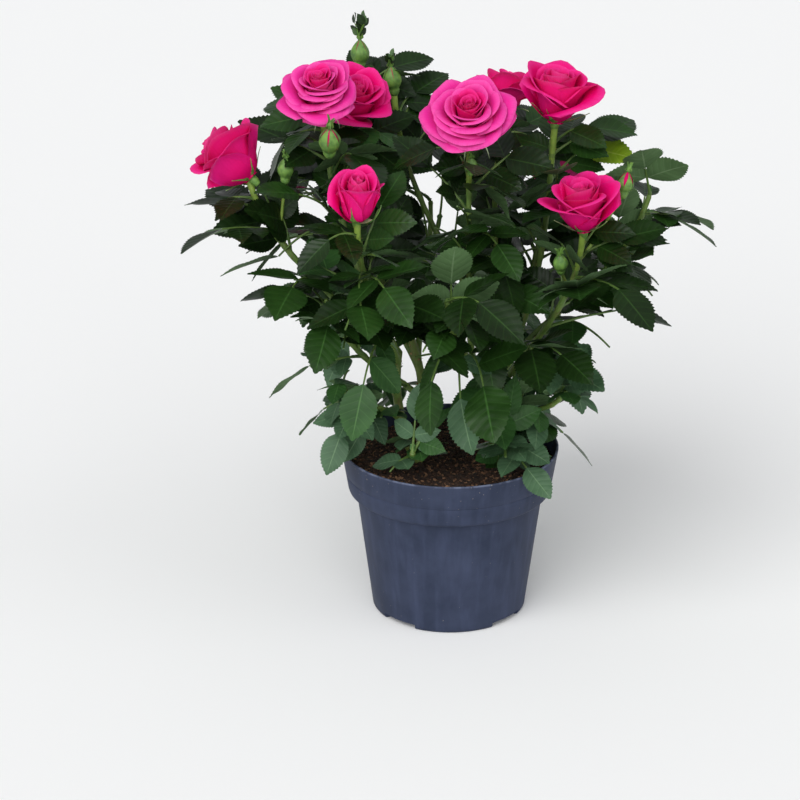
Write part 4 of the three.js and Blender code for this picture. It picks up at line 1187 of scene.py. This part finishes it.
# Leaf stalks are of a green between the stem's and the leaves'.
leaf_stalk_green = plain_material("leaf_stalk", "45602A", "5F7B36", 7, 0.5)
twigs = make_piece("twigs", twig_batch, [shoot_bark, leaf_stalk_green, leaf_materials[2]], crease=60)
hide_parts(*(f"foliage_{name}" for name in paths))
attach(twigs, "root")


# Blooms
# Double flowers of the old-rose form: velvety petals set in a spiral, the inner ones wrapped
# round each other and the outer ones spread, with rims that roll back to a point.

GOLDEN_TURN = math.radians(137.508)
PETAL_ROWS = 13
PETAL_COLUMNS = 13
PETAL_THICKNESS = 0.3
STAGES = (0, 0.3, 0.55, 0.8, 1)

# For each form, at five stages from the innermost petal to the outermost: the slope at a petal's
# foot, middle and rim in degrees from the bloom's axis, its length and its half width in radii.
FORMS = {
    "open": {"petals": 38, "foot": (8, 38, 60, 76, 84), "middle": (-8, -4, 8, 28, 52),
             "rim": (-8, 8, 42, 84, 112), "length": (1.02, 1.12, 1.20, 1.22, 1.16),
             "half": (0.26, 0.48, 0.70, 0.84, 0.88)},
    "half": {"petals": 25, "foot": (8, 36, 62, 76, 84), "middle": (-8, -8, -4, 8, 30),
             "rim": (-8, -2, 8, 44, 84), "length": (1.42, 1.46, 1.54, 1.58, 1.50),
             "half": (0.26, 0.50, 0.78, 0.96, 1.00)},
    "tight": {"petals": 18, "foot": (8, 36, 62, 76, 84), "middle": (-8, -8, -6, -2, 4),
              "rim": (-12, -6, -2, 6, 18), "length": (1.80, 1.88, 1.98, 2.02, 1.96),
              "half": (0.30, 0.56, 0.90, 1.10, 1.14)},
    "cup": {"petals": 24, "foot": (8, 32, 50, 62, 68), "middle": (-8, -8, -2, 8, 20),
            "rim": (-8, -2, 8, 28, 60), "length": (1.20, 1.28, 1.38, 1.46, 1.46),
            "half": (0.26, 0.50, 0.80, 1.00, 1.06)},
    "nodding": {"petals": 26, "foot": (8, 36, 58, 70, 78), "middle": (-8, -8, -4, 6, 22),
                "rim": (-8, -4, 6, 30, 58), "length": (1.42, 1.44, 1.50, 1.50, 1.42),
                "half": (0.28, 0.52, 0.82, 1.04, 1.12)},
}
# How the blooms that differ from their form stand: form, size, facing, and how far down in mm.
POSED = {
    "left": ("nodding", 1.22, (165, 50), 3),
    "upper_left": ("open", 0.98, (-100, 25), 1),
    "front": ("tight", 1.07, (-80, 16), 2),
    "centre": ("open", 0.98, (-92, 34), 0),
    "right": ("cup", 1.07, (-115, 11), 4),
    "upper_right": ("cup", 1.08, (-60, 10), 2),
    "top_left": ("half", 1.1, (-70, 32), 4),
    "back_right": ("half", 0.9, (60, 50), 5),
}


def pose_of(name):
    """The form, radius, facing and base of a bloom's petals and sepals."""
    _, _, _, form, radius, face, _, _ = SHOOTS[name]
    form, size, face, sunk = POSED.get(name, (form, 1, face, 0))
    return form, radius * size, facing(*face), paths[name][-1] - facing(*face) * sunk


def petal_grid(form, k, draw):
    """A petal's corners in radii, as (towards the rim, sideways, up the axis)."""
    shape = FORMS[form]
    q = k / (shape["petals"] - 1)
    foot, middle, rim, length, wide = (
        np.interp(q, STAGES, shape[part]) for part in ("foot", "middle", "rim", "length", "half"))
    loose = q * q * (0.35 if form in ("tight", "cup") else 1)
    rim += draw(-16, 16) * q
    middle += draw(-8, 8) * q
    wide *= draw(0.86, 1.08)
    length *= draw(0.93, 1.04)
    curl, roll = draw(20, 75) * (q if form == "open" else 0.6 * q), draw(10, 60) * loose
    phase, ruffle = draw(0, 6.28), 0.012 + 0.075 * loose
    point, lean = draw(-0.10, 0.16) * q * q, draw(-0.30, 0.30) * q
    u = (1 - (1 - np.linspace(0, 1, PETAL_ROWS)) ** 1.25)[:, None]
    s = np.linspace(-1, 1, PETAL_COLUMNS)[None, :]
    rounded = 1 - (0.16 + 0.22 * q) * np.abs(s) ** 2.5 + point * np.exp(-(s / 0.35) ** 2)
    reach = u * rounded
    low, high = np.clip(reach / 0.55, 0, 1), np.clip((reach - 0.55) / 0.45, 0, 1)
    edge = np.clip((u - 0.78) / 0.22, 0, 1)
    slope = np.radians(foot + (middle - foot) * low * low * (3 - 2 * low)
                       + (rim + roll * s * s - middle) * high ** 1.5 + curl * edge * edge)
    step = np.diff(reach, axis=0, prepend=0) * length
    out = np.cumsum(np.sin(slope) * step, axis=0) + 0.04 + 0.02 * q
    up = np.cumsum(np.cos(slope) * step, axis=0)
    half = wide * (0.34 + 0.66 * np.sin(np.clip(u / 0.66, 0, 1) * math.pi / 2))
    flatter = 1.02 + 0.35 * q * q * np.clip((u - 0.6) / 0.4, 0, 1)
    bend = np.maximum(out, 0.09 + 0.05 * q) * flatter
    angle = s * np.minimum(half / bend, 2.7)
    tuck = (0.05 - 0.02 * q) * s * (0.4 + 0.6 * u)
    wave = ruffle * (np.sin(phase + 2.6 * s) + 0.5 * np.sin(2 * phase + 6.5 * s)) * u ** 3
    forward = out - bend + (bend + tuck) * np.cos(angle) + wave * 0.7
    sideways = (bend + tuck) * np.sin(angle) + lean * wide * u * u
    return np.stack([forward, sideways, up + wave], axis=-1), u + 0 * s, s + 0 * u


def petal_faces():
    """The inner and the outer side of a petal: they share the rim, so that it is closed."""
    inner, outer = [], []
    columns = PETAL_COLUMNS
    back = {}
    number = PETAL_ROWS * columns
    for i in range(PETAL_ROWS):
        for j in range(columns):
            if 0 < i < PETAL_ROWS - 1 and 0 < j < columns - 1:
                back[i, j] = number
                number += 1
            else:
                back[i, j] = i * columns + j
    for i in range(PETAL_ROWS - 1):
        for j in range(columns - 1):
            inner.append((i * columns + j, i * columns + j + 1, (i + 1) * columns + j + 1,
                          (i + 1) * columns + j))
            outer.append((back[i, j], back[i + 1, j], back[i + 1, j + 1], back[i, j + 1]))
    return inner, outer


inner_faces, outer_faces = petal_faces()


def axes_of(way):
    across = way.cross(crosswise(way)).normalized()
    return across, way.cross(across), way


def round_axis(axes, turn):
    """The way out from an axis at a turn round it, and the way beside that."""
    across, aside, _ = axes
    return (across * math.cos(turn) + aside * math.sin(turn),
            aside * math.cos(turn) - across * math.sin(turn))


def add_petal(batch, base, axes, radius, turn, grid, finishes):
    """Stands a petal on a bloom's base, turned round its axis, and gives it its thickness."""
    shape, u, s = grid
    spots = np.array(base) + shape * radius @ np.array([*round_axis(axes, turn), axes[2]])
    normal = np.cross(np.gradient(spots, axis=1), np.gradient(spots, axis=0))
    normal /= np.linalg.norm(normal, axis=-1, keepdims=True) + 1e-9
    behind = (spots - normal * PETAL_THICKNESS)[1:-1, 1:-1]
    pattern = np.stack([s, u], axis=-1)
    batch.add(np.concatenate([spots.reshape(-1, 3), behind.reshape(-1, 3)]), inner_faces + outer_faces,
              [finishes[0]] * len(inner_faces) + [finishes[1]] * len(outer_faces),
              np.concatenate([pattern.reshape(-1, 2), pattern[1:-1, 1:-1].reshape(-1, 2)]))


BLOOM_SEEDS = {"left": 1000, "upper_left": 1000, "front": 1005, "centre": 1006, "right": 1006,
               "upper_right": 1001}
DEEP_BLOOMS = ("right", "front", "upper_right", "left", "top_left", "upper_back")
HEART_SHARE = 0.42
petal_batch = Batch()
for number, (name, shoot) in enumerate(SHOOTS.items()):
    if shoot[3] not in FORMS:
        continue
    draw = seeded(BLOOM_SEEDS.get(name, 900 + number))
    form, radius, way, base = pose_of(name)
    axes = axes_of(way)
    first = draw(0, 6.28)
    count = FORMS[form]["petals"]
    for k in range(count):
        finishes = (2, 3) if name in DEEP_BLOOMS or k < HEART_SHARE * count else (0, 1)
        turn = first + k * GOLDEN_TURN + draw(-0.2, 0.2) * (0.7 + k / count)
        add_petal(petal_batch, base, axes, radius, turn, petal_grid(form, k, draw), finishes)


def velvet(name, heart, blade, rim):
    """Petal: soft sheen, deeper towards its foot as painted shade of the bloom's depths, paler at the rim as
    a painted highlight, with faint lengthwise veins.
    """
    made, shader, add = new_material(name, Roughness=0.6, Specular_IOR_Level=0.06, Subsurface_Weight=0.12,
                                     Subsurface_Scale=0.002, Subsurface_Radius=(1, 0.3, 0.6))
    pattern = add("UVMap", uv_map="pattern")
    height = add("SeparateXYZ", {0: pattern}).outputs["Y"]
    # Painted shade: the petal's foot, deep in the bloom, takes the darker heart colour.
    rise = add("MapRange", {0: height, 1: 0.3, 2: 0.8})
    body = add("Mix", {"Factor": rise, 6: linear(heart), 7: linear(blade)}, data_type="RGBA")
    # Painted highlight: the rim is mixed towards a paler pink.
    edge = add("MapRange", {0: height, 1: 0.86, 4: 0.8})
    rim_highlighted = add("Mix", {"Factor": edge, 6: body, 7: linear(rim)}, data_type="RGBA")
    drawn = add("Mapping", {"Vector": pattern, "Scale": (9, 0.8, 1)})
    veins = add("TexNoise", {"Vector": drawn, "Scale": 3, "Detail": 3})
    faint = add("MapRange", {0: veins, 1: 0.4, 2: 0.75, 4: 0.3})
    veined = add("Mix", {"Factor": faint, 6: rim_highlighted, 7: linear(heart)}, data_type="RGBA")
    relief = add("Bump", {"Strength": 0.2, "Distance": 0.0002, "Height": veins})
    plug(shader, {"Base Color": veined, "Normal": relief})
    return made


# Two pinks, each a little deeper on the petals' backs. Each gives the foot's colour, deeper as painted
# shade, the blade's, and the rim's, paler as a painted highlight.
petal_materials = [
    velvet("velvety_petal_inside", "E2187A", "EE4E9E", "F47CBA"),
    velvet("velvety_petal_back", "C80A70", "E02C92", "EC5AAA"),
    velvet("velvety_deep_petal_inside", "D80864", "EA1E80", "F04E98"),
    velvet("velvety_deep_petal_back", "C6045E", "E20872", "E83890"),
]
petals = make_piece("petals", petal_batch, petal_materials, crease=60)
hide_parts(*(f"bloom_{name}" for name, shoot in SHOOTS.items() if shoot[3] in FORMS))
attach(petals, "root")


# Flower stalks and calyxes
# Each bloom and bud stands on a paler stalk with fine bristles, which swells to a green hip under
# it. Five long sepals leave the hip: they hug a young bloom and turn down under an open one.

def turn_on_axis(batch, base, way, profile, sides, finish):
    """A profile turned round an axis that stands on a base, as a closed solid."""
    part = Batch()
    turn_profile(part, profile, sides)
    batch.add(np.array(base) + part.spots[0] @ np.array(axes_of(way)), part.faces, finish)


SEPAL_HALF = (0.62, 0.95, 1.0, 0.86, 0.62, 0.42, 0.27, 0.18, 0.13, 0.10, 0.07, 0.02)
SEPAL_THICKNESS = 0.45
SEPAL_START = (1.9, -0.2)


def add_sepal(batch, base, axes, turn, slopes, length, half_width, draw):
    """A sepal that leaves the hip: its slope from the axis goes through three values."""
    sway = draw(-0.35, 0.35)
    ahead, beside = round_axis(axes, turn)
    way = axes[2]
    out, up, side = *SEPAL_START, 0
    steps = len(SEPAL_HALF) - 1
    rows = []
    for i, share in enumerate(SEPAL_HALF):
        slope = math.radians(np.interp(i / steps, (0, 0.5, 1), slopes))
        if i:
            out += math.sin(slope) * length / steps
            up += math.cos(slope) * length / steps
            side += sway * (i / steps) * length / steps
        middle = base + ahead * out + beside * side + way * up
        outside = ahead * math.cos(slope) - way * math.sin(slope)
        edge, skin = outside * (0.35 * share * half_width), outside * (SEPAL_THICKNESS / 2)
        rim = beside * (share * half_width)
        rows.append((middle - rim - edge, middle - skin, middle + rim - edge, middle + skin))
    add_strip(batch, rows, (2, 2, 1, 1))


# For each form: the sepals' slopes at their foot, middle and tip, their length and half width.
CALYXES = {
    "open": ((84, 118, 150), 15, 2.5),
    "half": ((80, 66, 112), 15, 2.7),
    "tight": ((86, 32, 14), 21, 3.0),
    "cup": ((78, 48, 44), 17, 2.9),
    "nodding": ((80, 50, 60), 15, 2.7),
}
HIP_PROFILE = [(0, -5.2), (1.62, -5.0), (2.0, -3.9), (2.4, -2.6), (2.5, -1.4), (2.4, -0.4), (2.2, 0.3),
               (0, 0.5)]
STALK_START = 0.80
STALK_END = 0.998
STALK_RADII = (1.55, 1.95)
STALK_END_RINGS = 22
green_batch = Batch()
for number, (name, shoot) in enumerate(SHOOTS.items()):
    if shoot[3] == "leafy":
        continue
    add_limb(green_batch, stretch(paths[name], STALK_START, STALK_END, STALK_END_RINGS),
             taper(*STALK_RADII, STALK_END_RINGS, 2), 12, relief=0.1)
    if shoot[3] == "bud":
        continue
    draw = seeded(700 + number)
    form, _, way, base = pose_of(name)
    turn_on_axis(green_batch, base, way, HIP_PROFILE, 20, 1)
    slopes, length, half_width = CALYXES[form]
    for k in range(5):
        leant = [slope + draw(-12, 12) for slope in slopes]
        add_sepal(green_batch, base, axes_of(way), draw(-0.12, 0.12) + k * math.tau / 5, leant,
                  length * draw(0.85, 1.15), half_width, draw)


# Buds
# Two buds stand on their own stalks at the back, and five small ones on side stalks. Green
# sepals close round rolled petals, which show in a slit, and run out in ragged tips above.

BUD_TIPS = {"top_bud": 13, "top_centre": 8}
BUD_SLIT = 0.35
# For each side bud: its shoot and how far along that it starts, its tip, its radius and its slit.
SIDE_BUDS = (
    ("upper_left", 0.80, (-64, -15, 274), 5.6, 0.55),
    ("left", 0.72, (-88, -5, 254), 4.2, 0.3),
    ("centre", 0.78, (10, -15, 260), 3.2, 0.2),
    ("right", 0.72, (57, -45, 217), 3.7, 0.2),
    ("right", 0.84, (90, -14, 250), 4.3, 1.2),
)
BUD_AT = (-0.30, -0.24, -0.10, 0.0, 0.07, 0.2, 0.35, 0.5, 0.65, 0.8, 0.92, 1.0, 1.05)
BUD_RADIUS = (0.0, 0.40, 0.60, 0.60, 0.56, 0.80, 0.97, 0.99, 0.87, 0.64, 0.40, 0.18, 0.0)
SIDE_STALK_RADII = (0.95, 0.8)
SIDE_STALK_STEPS = 10
BUD_SIDES = 20
WRAP_ROWS = 14
TIP_ROWS = 8
WRAP_END = 1.02
WRAP_SPREAD = math.radians(39)


def bud_radius(share):
    return float(np.interp(share, BUD_AT, BUD_RADIUS))


def add_bud(batch, base, way, radius, tip_length, slit, lobed, draw):
    """A bud on a base: hip, rolled petals, and five sepals folded over them with free tips."""
    tall = TALL["bud"] * radius
    axes = axes_of(way)
    hip = [(bud_radius(t) * radius, t * tall) for t in BUD_AT[:5]] + [(0, 0.1 * tall)]
    rolled = [(0, 0.04 * tall)] + [(bud_radius(t) * radius * 0.93, t * tall) for t in BUD_AT[5:]]
    turn_on_axis(batch, base, way, hip, BUD_SIDES, 1)
    turn_on_axis(batch, base, way, rolled, BUD_SIDES, 3)
    first = draw(0, 6.28)
    for k in range(5):
        turn = first + k * math.tau / 5
        ahead, beside = round_axis(axes, turn)
        lean, sway = draw(-0.35, 0.5), draw(-0.4, 0.4)
        length = tip_length * draw(0.75, 1.1)
        rows = []
        for i in range(WRAP_ROWS + 1):
            t = WRAP_END * i / WRAP_ROWS
            r = bud_radius(t) * radius + 0.22
            at = base + way * (t * tall)
            spread = WRAP_SPREAD * (1 - slit * max(0, t - 0.25) ** 1.2)
            right, left = (at + round_axis(axes, turn + s * spread)[0] * r for s in (1, -1))
            rows.append((right, at + ahead * (r + 0.25), left, at + ahead * max(0.05, r - 0.35)))
        top = base + way * (WRAP_END * tall) + ahead * (bud_radius(WRAP_END) * radius + 0.3)
        for i in range(1, TIP_ROWS):
            j = i / TIP_ROWS
            at = (top + way * (length * j * (1 - 0.15 * abs(lean) * j)) + ahead * (length * lean * j * j)
                  + beside * (length * sway * j * j))
            half = 1.6 * (1 - j) ** 0.8 * (1 + 0.35 * math.sin(9 * j)) + 0.05
            rows.append((at + beside * half, at - ahead * 0.12, at - beside * half, at + ahead * 0.15))
        add_strip(batch, rows, (1, 1, 1, 1))
        if lobed:
            for i, side in ((2, 1), (4, -1), (6, 1), (7, -1)):
                heading = (way * draw(0.5, 1.1) + beside * (side * draw(0.3, 1.0)) + ahead * draw(-0.3, 0.6))
                heading = heading.normalized()
                normal = (ahead - heading * ahead.dot(heading)).normalized()
                lobe = (rows[WRAP_ROWS + i][1], heading, normal, length * draw(0.42, 0.62), 0)
                add_leaflet(lobe_batch, lobe, int(draw(0, LEAFLET_KINDS)), 0)


def side_stalk(shoot, share, tip, radius):
    """A side bud's stalk: it leaves the stem and bends up to the bud's hip."""
    root = along(paths[shoot], share)
    end = Vector(tip) - UP * (radius * TALL["bud"] / 2)
    bend = root.lerp(end, 0.45) - UP * 4
    shares = (i / SIDE_STALK_STEPS for i in range(SIDE_STALK_STEPS + 1))
    return [root * (1 - t) ** 2 + bend * (2 * t * (1 - t)) + end * t * t for t in shares]


lobe_batch = Batch()
draw = seeded(77)
for name, (_, _, tip, form, radius, face, _, _) in SHOOTS.items():
    if form == "bud":
        add_bud(green_batch, paths[name][-1], facing(*face), radius, BUD_TIPS[name], BUD_SLIT, True, draw)
for shoot, share, tip, radius, slit in SIDE_BUDS:
    stalk = side_stalk(shoot, share, tip, radius)
    add_limb(green_batch, stalk, taper(*SIDE_STALK_RADII, SIDE_STALK_STEPS), 8)
    way = ((stalk[-1] - stalk[-2]).normalized() + UP * 1.5).normalized()
    add_bud(green_batch, stalk[-1], way, radius, radius * 1.6, slit, False, draw)

# Stalks are a light yellowish green, sepals a fuller green outside and downy grey-green inside.
flower_stalk_green = plain_material("flower_stalk", "6F8A34", "8AA646", 6, 0.5)
sepal_green = plain_material("sepal", "4A7030", "6C9440", 3, 0.55)
sepal_down = plain_material("downy_sepal_inside", "9DB586", "C3CFA8", 2, 0.8)
green_parts = make_piece("calyxes_and_buds", green_batch,
                         [flower_stalk_green, sepal_green, sepal_down, petal_materials[3]], crease=60)
lobes = make_piece("sepal_lobes", lobe_batch, leaf_materials, crease=50)
budded = [f"bud_{name}" for name, shoot in SHOOTS.items() if shoot[3] == "bud"]
for piece in (green_parts, lobes):
    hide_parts(*budded)
    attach(piece, "root")

# Bristles: fine soft hairs some two millimetres apart, drawn as thick as they need to show. They
# turn from green to reddish brown in patches.
stalk_bristle = plain_material("stalk_bristle", "8FA050", "A9784E", 2, 0.6)
BRISTLE_PROFILE = [(0, -0.1), (0.11, 0), (0.05, 0.8), (0, 1.5)]
bristles = scatter("bristles", green_parts, stalk_bristle, BRISTLE_PROFILE, 4, (1, 1, 1),
                   26000, 9, 0.5, 1.0)
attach(bristles, "root")
